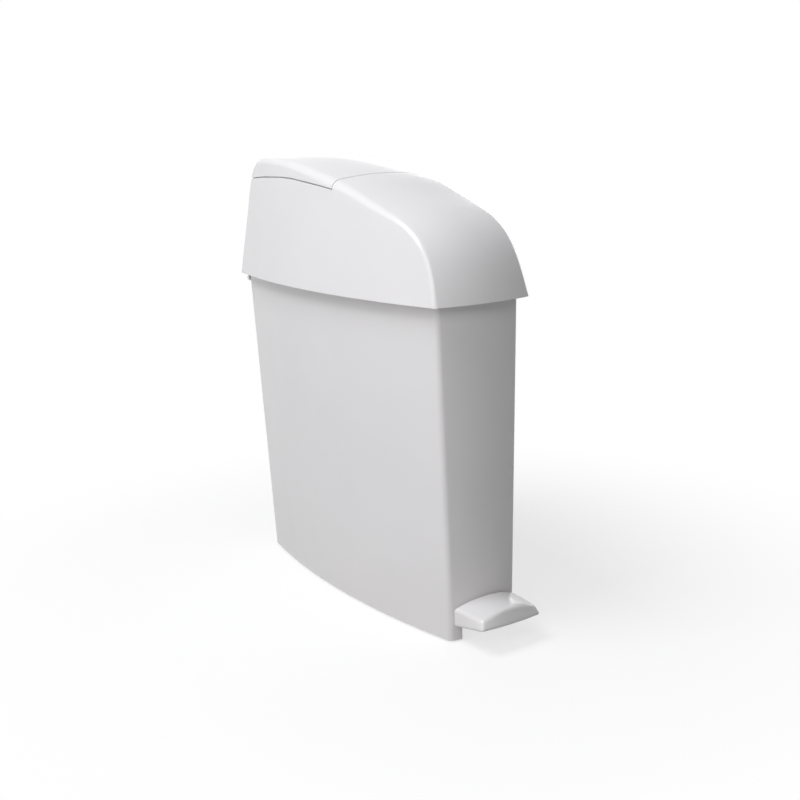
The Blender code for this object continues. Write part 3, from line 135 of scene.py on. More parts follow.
class Bench:
    """Node tree of one material, with the few kinds of pattern that the finishes need."""

    def __init__(self, name: str) -> None:
        """Start a material.

        Args:
            name: Name of the material.
        """
        self.material = bpy.data.materials.new(name)
        self.material.use_nodes = True
        self.tree = self.material.node_tree
        self.shader = self.tree.nodes["Principled BSDF"]
        self.place = self.node("ShaderNodeTexCoord", {}, {}).outputs["Object"]

    def node(self, kind: str, settings: dict[str, Any], inputs: dict[Any, Any]) -> bpy.types.Node:
        """Add a node.

        Args:
            kind: Type of the node.
            settings: Properties of the node, set before its inputs.
            inputs: Number, colour, socket or Signal for each input, by name or place.

        Returns:
            The new node.
        """
        made = self.tree.nodes.new(kind)
        for key, value in settings.items():
            setattr(made, key, value)
        for key, value in inputs.items():
            self.feed(made.inputs[key], value)
        return made

    def feed(self, socket: bpy.types.NodeSocket, value: Any) -> None:
        """Link a signal or socket to an input, or set the input's own value."""
        if isinstance(value, Signal):
            value = value.socket
        if isinstance(value, bpy.types.NodeSocket):
            self.tree.links.new(value, socket)
        else:
            socket.default_value = value

    def spots(self, size: float, detail: float = 2.0, stretch: Sequence[float] = (1, 1, 1)) -> Signal:
        """Soft noise.

        Args:
            size: Rough size of one spot, in metres.
            detail: Number of finer layers.
            stretch: Scale of the pattern along each axis.

        Returns:
            Noise between 0 and 1.
        """
        placed = self.node("ShaderNodeMapping", {}, {"Vector": self.place, "Scale": tuple(stretch)})
        made = self.node("ShaderNodeTexNoise", {},
                         {"Vector": placed.outputs[0], "Scale": 1 / size, "Detail": detail})
        return Signal(self, made.outputs[0])

    def height(self) -> Signal:
        """Height above the floor, in metres."""
        made = self.node("ShaderNodeSeparateXYZ", {}, {0: self.place})
        return Signal(self, made.outputs["Z"])

    def rise(self, value: Signal, low: float, high: float) -> Signal:
        """Smooth step.

        Args:
            value: Signal that is stepped.
            low: Value where the step starts.
            high: Value where the step ends.

        Returns:
            0 before the step and 1 behind it.
        """
        made = self.node("ShaderNodeMapRange", {"interpolation_type": "SMOOTHSTEP"},
                         {0: value, 1: low, 2: high})
        return Signal(self, made.outputs[0])

    def blend(self, share: Signal, first: Any, second: Any) -> Signal:
        """Mix two colours.

        Args:
            share: Share of the second colour.
            first: First colour or signal.
            second: Second colour or signal.

        Returns:
            The mixed colour.
        """
        made = self.node("ShaderNodeMix", {"data_type": "RGBA"}, {0: share, 6: first, 7: second})
        return Signal(self, made.outputs[2])

    def relief(self, height: Signal, depth: float, under: Signal | None = None) -> Signal:
        """Bump from a height pattern.

        Args:
            height: Pattern between 0 and 1.
            depth: Height of the pattern, in metres.
            under: Normal that the relief lies on.

        Returns:
            The changed normal.
        """
        inputs = {"Height": height, "Distance": depth, "Strength": 1.0}
        if under is not None:
            inputs["Normal"] = under
        made = self.node("ShaderNodeBump", {}, inputs)
        return Signal(self, made.outputs[0])

    def finish(self, **inputs: Any) -> bpy.types.Material:
        """Feed the shader and hand the material over.

        Args:
            **inputs: Values of the shader's inputs, with underscores for spaces.

        Returns:
            The finished material.
        """
        for key, value in inputs.items():
            self.feed(self.shader.inputs[key.replace("_", " ")], value)
        return self.material


# ---------------------------------------------------------------- finishes


@dataclass(frozen=True)
class MouldedPlastic:
    """Injection-moulded plastic with faint flow clouds, fine grain and handling marks."""

    slot: str
    color: Color
    cloud_color: Color
    floor_color: Color
    roughness: float
    roughness_spread: float = 0.06
    cloud_size: float = 0.11
    grain_size: float = 0.0009
    grain_depth: float = 0.000006
    wave_size: float = 0.075
    wave_depth: float = 0.00035
    floor_reach: float = 0.16

    def material(self) -> bpy.types.Material:
        """Make the material."""
        bench = Bench(self.slot)
        clouds = bench.rise(bench.spots(self.cloud_size, 3.0), 0.38, 0.66)
        low = 1 - bench.rise(bench.height(), 0.0, self.floor_reach)
        dusty = 0.5 * low * low
        tone = bench.blend(clouds, self.color, self.cloud_color)
        tone = bench.blend(dusty, tone, self.floor_color)
        gloss = self.roughness + self.roughness_spread * (bench.spots(self.wave_size, 1.0) - 0.5)
        waves = bench.relief(bench.spots(self.wave_size, 1.0), self.wave_depth)
        grain = bench.relief(bench.spots(self.grain_size, 2.0), self.grain_depth, waves)
        return bench.finish(Base_Color=tone, Roughness=gloss, Normal=grain)


@dataclass(frozen=True)
class PlatedSteel:
    """Zinc-plated steel, faintly brushed along the bin, with small dull patches."""

    slot: str
    color: Color
    dull_color: Color
    roughness: float = 0.30

    def material(self) -> bpy.types.Material:
        """Make the material."""
        bench = Bench(self.slot)
        patches = bench.rise(bench.spots(0.006, 3.0), 0.40, 0.68)
        brushed = bench.spots(0.0006, 3.0, (1.0, 0.06, 1.0))
        tone = bench.blend(patches, self.color, self.dull_color)
        gloss = self.roughness + 0.10 * (brushed - 0.5) + 0.14 * patches
        relief = bench.relief(brushed, 0.000010)
        return bench.finish(Base_Color=tone, Roughness=gloss, Normal=relief, Metallic=1.0)


@dataclass(frozen=True)
class Rubber:
    """Matt black rubber with a dusty bloom at the floor."""

    slot: str
    color: Color
    bloom_color: Color

    def material(self) -> bpy.types.Material:
        """Make the material."""
        bench = Bench(self.slot)
        bloom = bench.rise(bench.spots(0.004, 4.0), 0.42, 0.70) * 0.6
        tone = bench.blend(bloom, self.color, self.bloom_color)
        relief = bench.relief(bench.spots(0.0006, 2.0), 0.00002)
        return bench.finish(Base_Color=tone, Roughness=0.72 + 0.15 * bloom, Normal=relief)


WHITE_SHELL = MouldedPlastic("white_shell", (0.80, 0.788, 0.797, 1), (0.786, 0.775, 0.786, 1),
                             (0.74, 0.722, 0.712, 1), 0.225)
WHITE_INNER = MouldedPlastic("white_inner", (0.74, 0.74, 0.75, 1), (0.72, 0.722, 0.735, 1),
                             (0.66, 0.645, 0.61, 1), 0.42, grain_depth=0.000012)
ZINC_STEEL = PlatedSteel("zinc_steel", (0.62, 0.62, 0.63, 1), (0.50, 0.51, 0.53, 1))
GREY_PLASTIC = MouldedPlastic("grey_plastic", (0.22, 0.22, 0.23, 1), (0.20, 0.20, 0.212, 1),
                              (0.25, 0.245, 0.235, 1), 0.48, grain_depth=0.00002)
BLACK_RUBBER = Rubber("black_rubber", (0.03, 0.03, 0.03, 1), (0.075, 0.072, 0.068, 1))
Finish = MouldedPlastic | PlatedSteel | Rubber


class Paint:
    """Store of the materials, each made once."""

    made: dict[str, bpy.types.Material] = {}

    @classmethod
    def of(cls, finish: Finish) -> bpy.types.Material:
        """Return the material of a finish, made on its first use."""
        if finish.slot not in cls.made:
            cls.made[finish.slot] = finish.material()
        return cls.made[finish.slot]


# ---------------------------------------------------------------- shapes


class Solid:
    """Shape in the making: a bmesh and the workshop's operations on it."""

    def __init__(self, mesh: bmesh.types.BMesh | None = None) -> None:
        """Keep a bmesh, or start an empty one."""
        self.mesh = mesh if mesh is not None else bmesh.new()

    @classmethod
    def box(cls, low: Sequence[float], high: Sequence[float]) -> "Solid":
        """Axis-aligned box between two corners."""
        made = cls()
        bmesh.ops.create_cube(made.mesh, size=1.0)
        size = Vector(high) - Vector(low)
        bmesh.ops.scale(made.mesh, vec=size, verts=made.mesh.verts)
        return made.moved(Matrix.Translation((Vector(high) + Vector(low)) / 2))

    @classmethod
    def bar(cls, radius: float, start: Sequence[float], end: Sequence[float], steps: int = 48) -> "Solid":
        """Round bar.

        Args:
            radius: Radius of the bar.
            start: Middle of one end.
            end: Middle of the other end.
            steps: Number of flats round it.

        Returns:
            The bar.
        """
        axis = Vector(end) - Vector(start)
        place = Matrix.Translation((Vector(start) + Vector(end)) / 2)
        place @= axis.to_track_quat("Z", "Y").to_matrix().to_4x4()
        made = cls()
        bmesh.ops.create_cone(made.mesh, cap_ends=True, segments=steps, radius1=radius,
                              radius2=radius, depth=axis.length, matrix=place)
        return made

    @classmethod
    def turned(cls, profile: Sequence[Point], closed: bool = False, steps: int = 48) -> "Solid":
        """Solid of revolution about Z.

        Args:
            profile: (radius, height) points of the section.
            closed: True for a ring's section, False for one that starts and ends on the axis.
            steps: Number of flats round it.

        Returns:
            The turned solid.
        """
        made = cls()
        line = [made.mesh.verts.new((radius, 0.0, height)) for radius, height in profile]
        pairs = list(zip(line, line[1:])) + ([(line[-1], line[0])] if closed else [])
        edges = [made.mesh.edges.new(pair) for pair in pairs]
        bmesh.ops.spin(made.mesh, geom=line + edges, axis=(0, 0, 1), cent=(0, 0, 0),
                       angle=math.tau, steps=steps, use_merge=True)
        return made.mended()

    @classmethod
    def slab(cls, outline: Sequence[Point], low_x: float, high_x: float) -> "Solid":
        """Flat outline of (y, z) points, thickened across the bin.

        Args:
            outline: Corners of the outline.
            low_x: One side of the slab.
            high_x: Its other side.

        Returns:
            The slab.
        """
        made = cls()
        face = made.mesh.faces.new([made.mesh.verts.new((low_x, y, z)) for y, z in outline])
        grown = bmesh.ops.extrude_face_region(made.mesh, geom=[face])["geom"]
        moved = [item for item in grown if isinstance(item, bmesh.types.BMVert)]
        bmesh.ops.translate(made.mesh, vec=(high_x - low_x, 0, 0), verts=moved)
        return made.mended()

    @classmethod
    def hulled(cls, outline: Sequence[Point], low_x: float, high_x: float) -> "Solid":
        """Slab with the convex outline round (y, z) points."""
        made = cls()
        for x in (low_x, high_x):
            for y, z in outline:
                made.mesh.verts.new((x, y, z))
        bmesh.ops.convex_hull(made.mesh, input=made.mesh.verts[:])
        loose = [vert for vert in made.mesh.verts if not vert.link_faces]
        bmesh.ops.delete(made.mesh, geom=loose, context="VERTS")
        bmesh.ops.dissolve_limit(made.mesh, angle_limit=math.radians(0.5),
                                 verts=made.mesh.verts[:], edges=made.mesh.edges[:])
        return made.mended()

    @classmethod
    def grown(cls, rows: Sequence[Sequence[Vector]], closed: bool = False) -> "Solid":
        """Skin that is extruded row by row from a first line.

        Args:
            rows: Places of the points of each row, all rows being equally long.
            closed: True if each row is a loop.

        Returns:
            The open skin.
        """
        made = cls()
        line = [made.mesh.verts.new(place) for place in rows[0]]
        pairs = list(zip(line, line[1:])) + ([(line[-1], line[0])] if closed else [])
        edges = [made.mesh.edges.new(pair) for pair in pairs]
        for row in rows[1:]:
            fresh = bmesh.ops.extrude_edge_only(made.mesh, edges=edges)["geom"]
            edges = [item for item in fresh if isinstance(item, bmesh.types.BMEdge)]
            new = {item for item in fresh if isinstance(item, bmesh.types.BMVert)}
            line = [next(edge.other_vert(vert) for edge in vert.link_edges
                         if edge.other_vert(vert) in new) for vert in line]
            for vert, place in zip(line, row):
                vert.co = place
        return made

    def mended(self) -> "Solid":
        """Merge doubled points and turn the faces outwards."""
        bmesh.ops.remove_doubles(self.mesh, verts=self.mesh.verts, dist=HAIRLINE)
        bmesh.ops.recalc_face_normals(self.mesh, faces=self.mesh.faces)
        return self

    def trimmed(self, least: float) -> "Solid":
        """Weld points that lie nearer than a least distance to an open rim onto the rim."""
        rim = {vert for vert in self.mesh.verts if vert.is_boundary}
        welds = {}
        for vert in rim:
            for edge in vert.link_edges:
                other = edge.other_vert(vert)
                if other not in rim and edge.calc_length() < least:
                    welds[other] = vert
        bmesh.ops.weld_verts(self.mesh, targetmap=welds)
        return self

    def scored(self, point: Sequence[float], normal: Sequence[float],
               faces: Sequence[bmesh.types.BMFace] | None = None) -> "Solid":
        """Cut the faces along a plane and keep both sides.

        Args:
            point: Point on the plane.
            normal: Normal of the plane.
            faces: Faces that are cut, or none for all of them.

        Returns:
            This solid.
        """
        faces = self.mesh.faces[:] if faces is None else list(faces)
        edges = list({edge for face in faces for edge in face.edges})
        verts = list({vert for face in faces for vert in face.verts})
        bmesh.ops.bisect_plane(self.mesh, geom=verts + edges + faces, dist=HAIRLINE,
                               plane_co=point, plane_no=normal)
        return self

    def halved(self, point: Sequence[float], normal: Sequence[float], least: float) -> "Solid":
        """Keep the side of a plane that its normal points to.

        Args:
            point: Point on the plane.
            normal: Normal of the plane.
            least: Least distance of other points from the new rim.

        Returns:
            This solid.
        """
        geometry = self.mesh.verts[:] + self.mesh.edges[:] + self.mesh.faces[:]
        bmesh.ops.bisect_plane(self.mesh, geom=geometry, dist=HAIRLINE, plane_co=point,
                               plane_no=normal, clear_inner=True)
        return self.trimmed(least)

    def capped(self) -> "Solid":
        """Close every open rim with a flat face."""
        rim = [edge for edge in self.mesh.edges if edge.is_boundary]
        bmesh.ops.holes_fill(self.mesh, edges=rim, sides=0)
        return self.mended()

    def moved(self, place: Matrix) -> "Solid":
        """Move or turn the whole shape."""
        bmesh.ops.transform(self.mesh, matrix=place, verts=self.mesh.verts)
        return self

    def copied(self) -> "Solid":
        """Return a copy of the shape."""
        return Solid(self.mesh.copy())

    def mirrored(self) -> "Solid":
        """Add the mirror image on the other side of the bin's middle plane."""
        bmesh.ops.mirror(self.mesh, geom=self.mesh.verts[:] + self.mesh.edges[:] + self.mesh.faces[:],
                         merge_dist=HAIRLINE, axis="X")
        return self.mended()

    def rounded(self, width: float, steps: int = 3, angle: float = 50.0,
                where: Callable[[bmesh.types.BMEdge], bool] | None = None) -> "Solid":
        """Round the edges between faces that meet at more than an angle.

        Args:
            width: Width of the rounding.
            steps: Number of flats in it.
            angle: Least angle between the faces, in degrees.
            where: Test that an edge also has to pass.

        Returns:
            This solid.
        """
        least = math.radians(angle)
        picked = [edge for edge in self.mesh.edges
                  if edge.is_manifold and edge.calc_face_angle() > least
                  and (where is None or where(edge))]
        bmesh.ops.bevel(self.mesh, geom=picked, offset=width, offset_type="OFFSET",
                        segments=steps, profile=0.5, affect="EDGES", material=-1)
        return self

    def to_object(self, name: str) -> bpy.types.Object:
        """Link the shape to the scene as an object and free the bmesh."""
        data = bpy.data.meshes.new(name)
        self.mesh.to_mesh(data)
        self.mesh.free()
        made = bpy.data.objects.new(name, data)
        bpy.context.scene.collection.objects.link(made)
        return made

    def worked(self, fit: Callable[[bpy.types.Object], None]) -> "Solid":
        """Bake modifiers into the shape.

        Args:
            fit: Adds the modifiers to the object that it is handed.

        Returns:
            The changed solid.
        """
        blank = self.to_object("blank")
        fit(blank)
        graph = bpy.context.evaluated_depsgraph_get()
        graph.update()
        data = bpy.data.meshes.new_from_object(blank.evaluated_get(graph))
        self.mesh = bmesh.new()
        self.mesh.from_mesh(data)
        old = blank.data
        bpy.data.objects.remove(blank)
        bpy.data.meshes.remove(old)
        bpy.data.meshes.remove(data)
        return self

    def act(self, way: Union, *others: "Solid") -> "Solid":
        """Unite with, carve by or keep only what lies in each other solid."""
        tools = [other.to_object("tool") for other in others]

        def fit(blank: bpy.types.Object) -> None:
            """Add one Boolean for each tool."""
            for tool in tools:
                modifier = blank.modifiers.new("act", "BOOLEAN")
                modifier.operation = way.value
                modifier.object = tool
                modifier.solver = "EXACT"

        self.worked(fit)
        for tool in tools:
            old = tool.data
            bpy.data.objects.remove(tool)
            bpy.data.meshes.remove(old)
        bmesh.ops.remove_doubles(self.mesh, verts=self.mesh.verts, dist=HAIRLINE)
        return self

    def walled(self, thickness: float) -> "Solid":
        """Give an open skin its wall, inwards."""

        def fit(blank: bpy.types.Object) -> None:
            """Add the wall."""
            modifier = blank.modifiers.new("wall", "SOLIDIFY")
            modifier.thickness = thickness
            modifier.offset = -1.0
            modifier.use_even_offset = True

        return self.worked(fit)

    def piece(self, name: str, finish: Finish, rider: Rider, *nodes: str) -> bpy.types.Object:
        """Turn the shape into a finished piece.

        Args:
            name: Name of the piece.
            finish: Its finish.
            rider: Body that it travels with.
            *nodes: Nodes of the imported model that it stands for.

        Returns:
            The piece's object.
        """
        self.moved(Matrix.Translation(ASSEMBLY_SHIFT))
        made = self.to_object(name)
        made.data.materials.append(Paint.of(finish))
        made.data.shade_smooth()
        made.data.set_sharp_from_angle(angle=SHARP_ANGLE)
        even = made.modifiers.new("even shading", "WEIGHTED_NORMAL")
        even.keep_sharp = True
        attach(made, rider.value)
        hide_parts(*nodes)
        LOG.info("%s: %d faces, rides on %s", name, len(made.data.polygons), rider.value)
        return made


def ring_points(middle: Point, radius: float, steps: int = 40) -> list[Point]:
    """Points on a circle in the (y, z) plane.

    Args:
        middle: Middle of the circle.
        radius: Its radius.
        steps: Number of points.

    Returns:
        The points.
    """
    angles = [math.tau * step / steps for step in range(steps)]
    return [(middle[0] + radius * math.cos(a), middle[1] + radius * math.sin(a)) for a in angles]


def arc_points(middle: Point, radius: float, first: float, last: float, steps: int) -> list[Point]:
    """Points on an arc.

    Args:
        middle: Middle of the arc.
        radius: Its radius.
        first: Angle of the first point, in degrees.
        last: Angle of the last point, in degrees.
        steps: Number of chords.

    Returns:
        The points.
    """
    angles = [math.radians(first + (last - first) * step / steps) for step in range(steps + 1)]
    return [(middle[0] + radius * math.cos(a), middle[1] + radius * math.sin(a)) for a in angles]


def fair_line(points: Sequence[Point], steps: int, stiffness: float) -> np.ndarray:
    """Fair line past a few points, by least squares against changes of curvature.

    Args:
        points: Points that the line passes.
        steps: Number of chords of the line.
        stiffness: Weight of the fairness.

    Returns:
        Array of the line's points.
    """
    keys = np.array(points, dtype=float)
    lengths = np.r_[0.0, np.cumsum(np.linalg.norm(np.diff(keys, axis=0), axis=1))]
    spots = lengths / lengths[-1] * steps
    before = np.minimum(spots.astype(int), steps - 1)
    pull = np.zeros((len(keys), steps + 1))
    pull[np.arange(len(keys)), before] = 1 - (spots - before)
    pull[np.arange(len(keys)), before + 1] = spots - before
    weight = np.ones(len(keys))
    weight[[0, -1]] = 1e4
    bend = np.diff(np.eye(steps + 1), n=3, axis=0) * steps ** 2.5
    left = pull.T @ (pull * weight[:, None]) + stiffness * bend.T @ bend
    return np.linalg.solve(left, pull.T @ (keys * weight[:, None]))


# ---------------------------------------------------------------- forms of body and hood


@dataclass(frozen=True)
class BodyPlan:
    """Plan of the tapered body, which bows on all four sides and has rounded corners."""

    low_z: float = 0.002
    rim_z: float = 0.404
    low_half_width: float = 0.065
    low_front_y: float = -0.2246
    low_rear_y: float = 0.2115
    side_flare: float = 0.0118
    front_flare: float = 0.0045
    rear_flare: float = 0.0181
    widest_y: float = -0.016
    side_radius: float = 1.1
    front_bow: float = 0.0047
    rear_bow: float = 0.003
    corner_radius: float = 0.0085
    front_steps: int = 12
    corner_steps: int = 8
    side_steps: int = 44

    def share(self, z: float) -> float:
        """Share of the taper that is reached at a height."""
        return (z - self.low_z) / (self.rim_z - self.low_z)

    def front_y(self, z: float) -> float:
        """Front end of the plan, without its bow, at a height."""
        return self.low_front_y - self.front_flare * self.share(z)

    def rear_y(self, z: float) -> float:
        """Rear end of the plan, without its bow, at a height."""
        return self.low_rear_y + self.rear_flare * self.share(z)

    def core_x(self, y: float, z: float) -> float:
        """Half width of the plan inside its rounded corners."""
        half = self.low_half_width + self.side_flare * self.share(z) - self.corner_radius
        return half - (y - self.widest_y) ** 2 / (2 * self.side_radius)

    def end(self, z: float, offset: float, turn: int) -> list[Vector]:
        """Right half of the front or rear end with its corner.

        Args:
            z: Height.
            offset: Distance outside the plan.
            turn: -1 for the front end, 1 for the rear end.

        Returns:
            The points, from the middle plane outwards.
        """
        grow = self.corner_radius + offset
        core_y = (self.front_y(z) if turn < 0 else self.rear_y(z)) - turn * self.corner_radius
        bow = self.front_bow if turn < 0 else self.rear_bow
        reach = self.core_x(core_y, z)
        points = []
        for step in range(self.front_steps + 1):
            x = reach * step / self.front_steps
            normal = Vector((2 * bow * x / reach ** 2, turn)).normalized()
            points.append(Vector((x, core_y + turn * bow * (1 - (x / reach) ** 2))) + grow * normal)
        first = math.atan2(turn, 2 * bow / reach)
        last = math.atan2((core_y - self.widest_y) / self.side_radius, 1.0)
        for step in range(1, self.corner_steps):
            angle = first + (last - first) * step / self.corner_steps
            points.append(Vector((reach, core_y)) + grow * Vector((math.cos(angle), math.sin(angle))))
        return points

    def loop(self, z: float, offset: float = 0.0) -> list[Vector]:
        """Closed plan loop at a height, moved outwards by an offset."""
        front = self.front_y(z) + self.corner_radius
        rear = self.rear_y(z) - self.corner_radius
        side = []
        for step in range(self.side_steps + 1):
            y = front + (rear - front) * step / self.side_steps
            normal = Vector((1.0, (y - self.widest_y) / self.side_radius)).normalized()
            side.append(Vector((self.core_x(y, z), y)) + (self.corner_radius + offset) * normal)
        right = self.end(z, offset, -1) + side + self.end(z, offset, 1)[::-1]
        left = [Vector((-point.x, point.y)) for point in right[-2:0:-1]]
        return [Vector((point.x, point.y, z)) for point in right + left]

    def swept(self, section: Sequence[Point]) -> Solid:
        """Skin swept round the plan.

        Args:
            section: (offset, height) points from one end of the skin to the other.

        Returns:
            The open skin.
        """
        return Solid.grown([self.loop(z, offset) for offset, z in section], closed=True)

    def block(self, low_z: float, high_z: float, offset: float) -> Solid:
        """Closed block of the plan between two heights."""
        return self.swept(((offset, low_z), (offset, high_z))).capped()

    def front_face_y(self, x: float, z: float, gap: float) -> float:
        """Front face of the body, with a gap before it, at a place."""
        line = self.end(z, gap, -1)
        return float(np.interp(abs(x), [point.x for point in line], [point.y for point in line]))


PROFILE_SHARES: tuple[Point, ...] = (
    (1.000, 0.000), (0.964, 0.397), (0.937, 0.718), (0.906, 0.878), (0.846, 0.971), (0.758, 1.000),
    (0.625, 0.999), (0.438, 0.988), (0.208, 0.949), (-0.042, 0.881), (-0.333, 0.776),
    (-0.583, 0.650), (-0.771, 0.537), (-0.892, 0.383), (-0.959, 0.192), (-1.000, 0.000),
)
SEAM_SHARES: tuple[Point, ...] = (
    (-0.175, 0.769), (-0.062, 0.790), (0.042, 0.806), (0.155, 0.822), (0.277, 0.836),
    (0.408, 0.840), (0.554, 0.837), (0.721, 0.829), (0.867, 0.815), (1.100, 0.811),
)


@dataclass(frozen=True)
class HoodForm:
    """Outer skin that hood and flap share: a crowned top, a rounded edge and drafted sides."""

    skirt_z: float = 0.390
    half_width: float = 0.0874
    half_depth: float = 0.240
    rise: float = 0.156
    draft: float = 0.147
    crown: float = 0.0044
    edge_radius: float = 0.0095
    edge_shares: tuple[Point, ...] = ((-1.0, 0.47), (-0.93, 0.48), (-0.75, 0.56), (-0.45, 0.80),
                                      (-0.20, 1.0))
    crown_shares: tuple[Point, ...] = ((-1.0, 1.75), (-0.80, 1.6), (-0.50, 1.25), (-0.20, 1.0))
    wall: float = 0.0026
    widest_y: float = -0.016
    side_radius: float = 1.1
    seam_gap: float = 0.0012
    skirt_trim: float = 0.004
    profile_steps: int = 150
    profile_stiffness: float = 2e-12
    crown_steps: int = 14
    edge_steps: int = 8
    wall_steps: int = 18
    least_edge: float = 0.0009

    def side_x(self, y: float, z: float) -> float:
        """Half width of the side wall at a place."""
        bow = (y - self.widest_y) ** 2 / (2 * self.side_radius)
        return self.half_width - bow - self.draft * (z - self.skirt_z)

    def edge_at(self, y: float) -> float:
        """Radius of the edge between top and side, which gets tighter down the nose."""
        places, shares = zip(*self.edge_shares)
        return self.edge_radius * float(np.interp(y / self.half_depth, places, shares))

    def crown_at(self, y: float) -> float:
        """Rise of the crowned top over its sides, which grows down the nose."""
        places, shares = zip(*self.crown_shares)
        return self.crown * float(np.interp(y / self.half_depth, places, shares))

    def placed(self, shares: Sequence[Point]) -> list[Point]:
        """Turn shares of depth and rise into (y, z) places."""
        return [(self.half_depth * y, self.skirt_z + self.rise * z) for y, z in shares]

    def profile(self) -> tuple[np.ndarray, np.ndarray]:
        """Side profile over the top and its outward normals."""
        keys = self.placed(PROFILE_SHARES)
        keys[0] = (keys[0][0], keys[0][1] - self.skirt_trim)
        keys[-1] = (keys[-1][0], keys[-1][1] - self.skirt_trim)
        line = fair_line(keys, self.profile_steps, self.profile_stiffness)
        along = np.gradient(line, axis=0)
        along /= np.linalg.norm(along, axis=1)[:, None]
        return line, np.stack([along[:, 1], -along[:, 0]], axis=1)

    def seam_z(self, y: float) -> float:
        """Height of the flap's seam on the side walls."""
        line = self.seam_line
        return float(np.interp(y, line[:, 0], line[:, 1]))

    @cached_property
    def seam_line(self) -> np.ndarray:
        """Fair line of the seam along the side walls."""
        return fair_line(self.placed(SEAM_SHARES), 80, self.profile_stiffness)

    @property
    def seam_front_y(self) -> float:
        """Place of the seam across the top."""
        return self.half_depth * SEAM_SHARES[0][0]

    def skin(self, spare: float = 0.0) -> Solid:
        """Whole outer skin, trimmed level.

        Args:
            spare: Depth that is left on under the skirt's edge.

        Returns:
            The open skin.
        """
        line, normals = self.profile()
        rows: list[list[Vector]] = []
        edges = [self.edge_at(point[0]) for point in line]
        reaches = [self.side_x(*point) - edge for point, edge in zip(line, edges)]
        crowns = [self.crown_at(point[0]) for point in line]
        for step in range(self.crown_steps + 1):
            share = step / self.crown_steps
            rows.append([Vector((reach * share, *(point + normal * crown * (1 - share ** 2))))
                         for point, normal, reach, crown in zip(line, normals, reaches, crowns)])
        for step in range(1, self.edge_steps + 1):
            angle = math.pi / 2 * step / self.edge_steps
            row = []
            for point, normal, reach, edge, crown in zip(line, normals, reaches, edges, crowns):
                slope = 2 * crown / reach
                drop = (1 - slope) * (1 - math.cos(angle)) + slope * math.sin(angle)
                y, z = point - normal * edge * drop
                row.append(Vector((self.side_x(y, z) - edge * (1 - math.sin(angle)), y, z)))
            rows.append(row)
        ends = rows[-1]
        for step in range(1, self.wall_steps + 1):
            row = []
            for index, end in enumerate(ends):
                foot_y = ends[0].y + (ends[-1].y - ends[0].y) * index / (len(ends) - 1)
                y, z = Vector((end.y, end.z)).lerp(Vector((foot_y, ends[0].z)), step / self.wall_steps)
                row.append(Vector((self.side_x(y, z), y, z)))
            rows.append(row)
        made = Solid.grown(rows).mirrored()
        mesh = made.mesh
        bmesh.ops.dissolve_degenerate(mesh, edges=mesh.edges, dist=HAIRLINE)
        made.halved((0, 0, self.skirt_z - spare), (0, 0, 1), self.least_edge)
        bmesh.ops.recalc_face_normals(mesh, faces=mesh.faces)
        top = max(mesh.faces, key=lambda face: face.calc_center_median().z)
        if top.normal.z < 0:
            bmesh.ops.reverse_faces(mesh, faces=mesh.faces)
        return made

    def sheared(self, skin: Solid, way: int) -> Solid:
        """Lower each point of a skin by the seam's height (way 1), or raise it again (way -1)."""
        for vert in skin.mesh.verts:
            vert.co.z -= way * self.seam_z(vert.co.y)
        return skin

    def flap_part(self, skin: Solid, inset: float) -> Solid:
        """Keep what lies behind and above the seam.

        Args:
            skin: Skin that is cut.
            inset: Distance from the seam to the new rim.

        Returns:
            The part of the skin.
        """
        self.sheared(skin, 1).halved((0, 0, inset), (0, 0, 1), self.least_edge)
        self.sheared(skin, -1)
        return skin.halved((0, self.seam_front_y + inset, 0), (0, 1, 0), self.least_edge)

    def opened(self, skin: Solid, inset: float) -> Solid:
        """Take out what lies behind and above the seam.

        Args:
            skin: Skin that is cut.
            inset: Distance from the seam to the new rim.

        Returns:
            The opened skin.
        """
        mesh = skin.mesh
        front_y = self.seam_front_y + inset
        skin.scored((0, front_y, 0), (0, 1, 0))
        self.sheared(skin, 1)
        behind = [face for face in mesh.faces if face.calc_center_median().y > front_y]
        skin.scored((0, 0, inset), (0, 0, 1), behind)
        gone = [face for face in mesh.faces
                if face.calc_center_median().y > front_y and face.calc_center_median().z > inset]
        bmesh.ops.delete(mesh, geom=gone, context="FACES")
        self.sheared(skin, -1)
        return skin.trimmed(self.least_edge)

    def inner_skin(self, depth: float) -> Solid:
        """Skin that lies at a depth under the outer one."""
        made = self.skin()
        made.mesh.normal_update()
        shifts = [(vert, vert.normal * depth) for vert in made.mesh.verts]
        for vert, shift in shifts:
            vert.co -= shift
        return made


PLAN = BodyPlan()
HOOD = HoodForm()


@dataclass(frozen=True)
class Layout:
    """Places and gaps that several sub-assemblies share."""

    pivot: Point = (-0.060, 0.024)
    tilt: float = math.radians(2.0)
    floor_under_z: float = 0.050
    floor_top_z: float = 0.0528
    wall: float = 0.0028
    rod_y: float = 0.20611
    flap_axis: Point = (0.231, 0.5185)
    hood_axis: Point = (0.240, 0.381)
    gap: float = 0.0003
    running_gap: float = 0.0001
    overrun: float = 0.004

    def lever_place(self) -> Matrix:
        """Frame of the lever at rest."""
        return (Matrix.Translation((0.0, *self.pivot)) @ Matrix.Rotation(-self.tilt, 4, "X"))


AT = Layout()


def across(x: float, place: Point) -> Matrix:
    """Frame whose Z runs along +X from a place in the (y, z) plane."""
    return Matrix.Translation((x, *place)) @ Matrix.Rotation(math.pi / 2, 4, "Y")


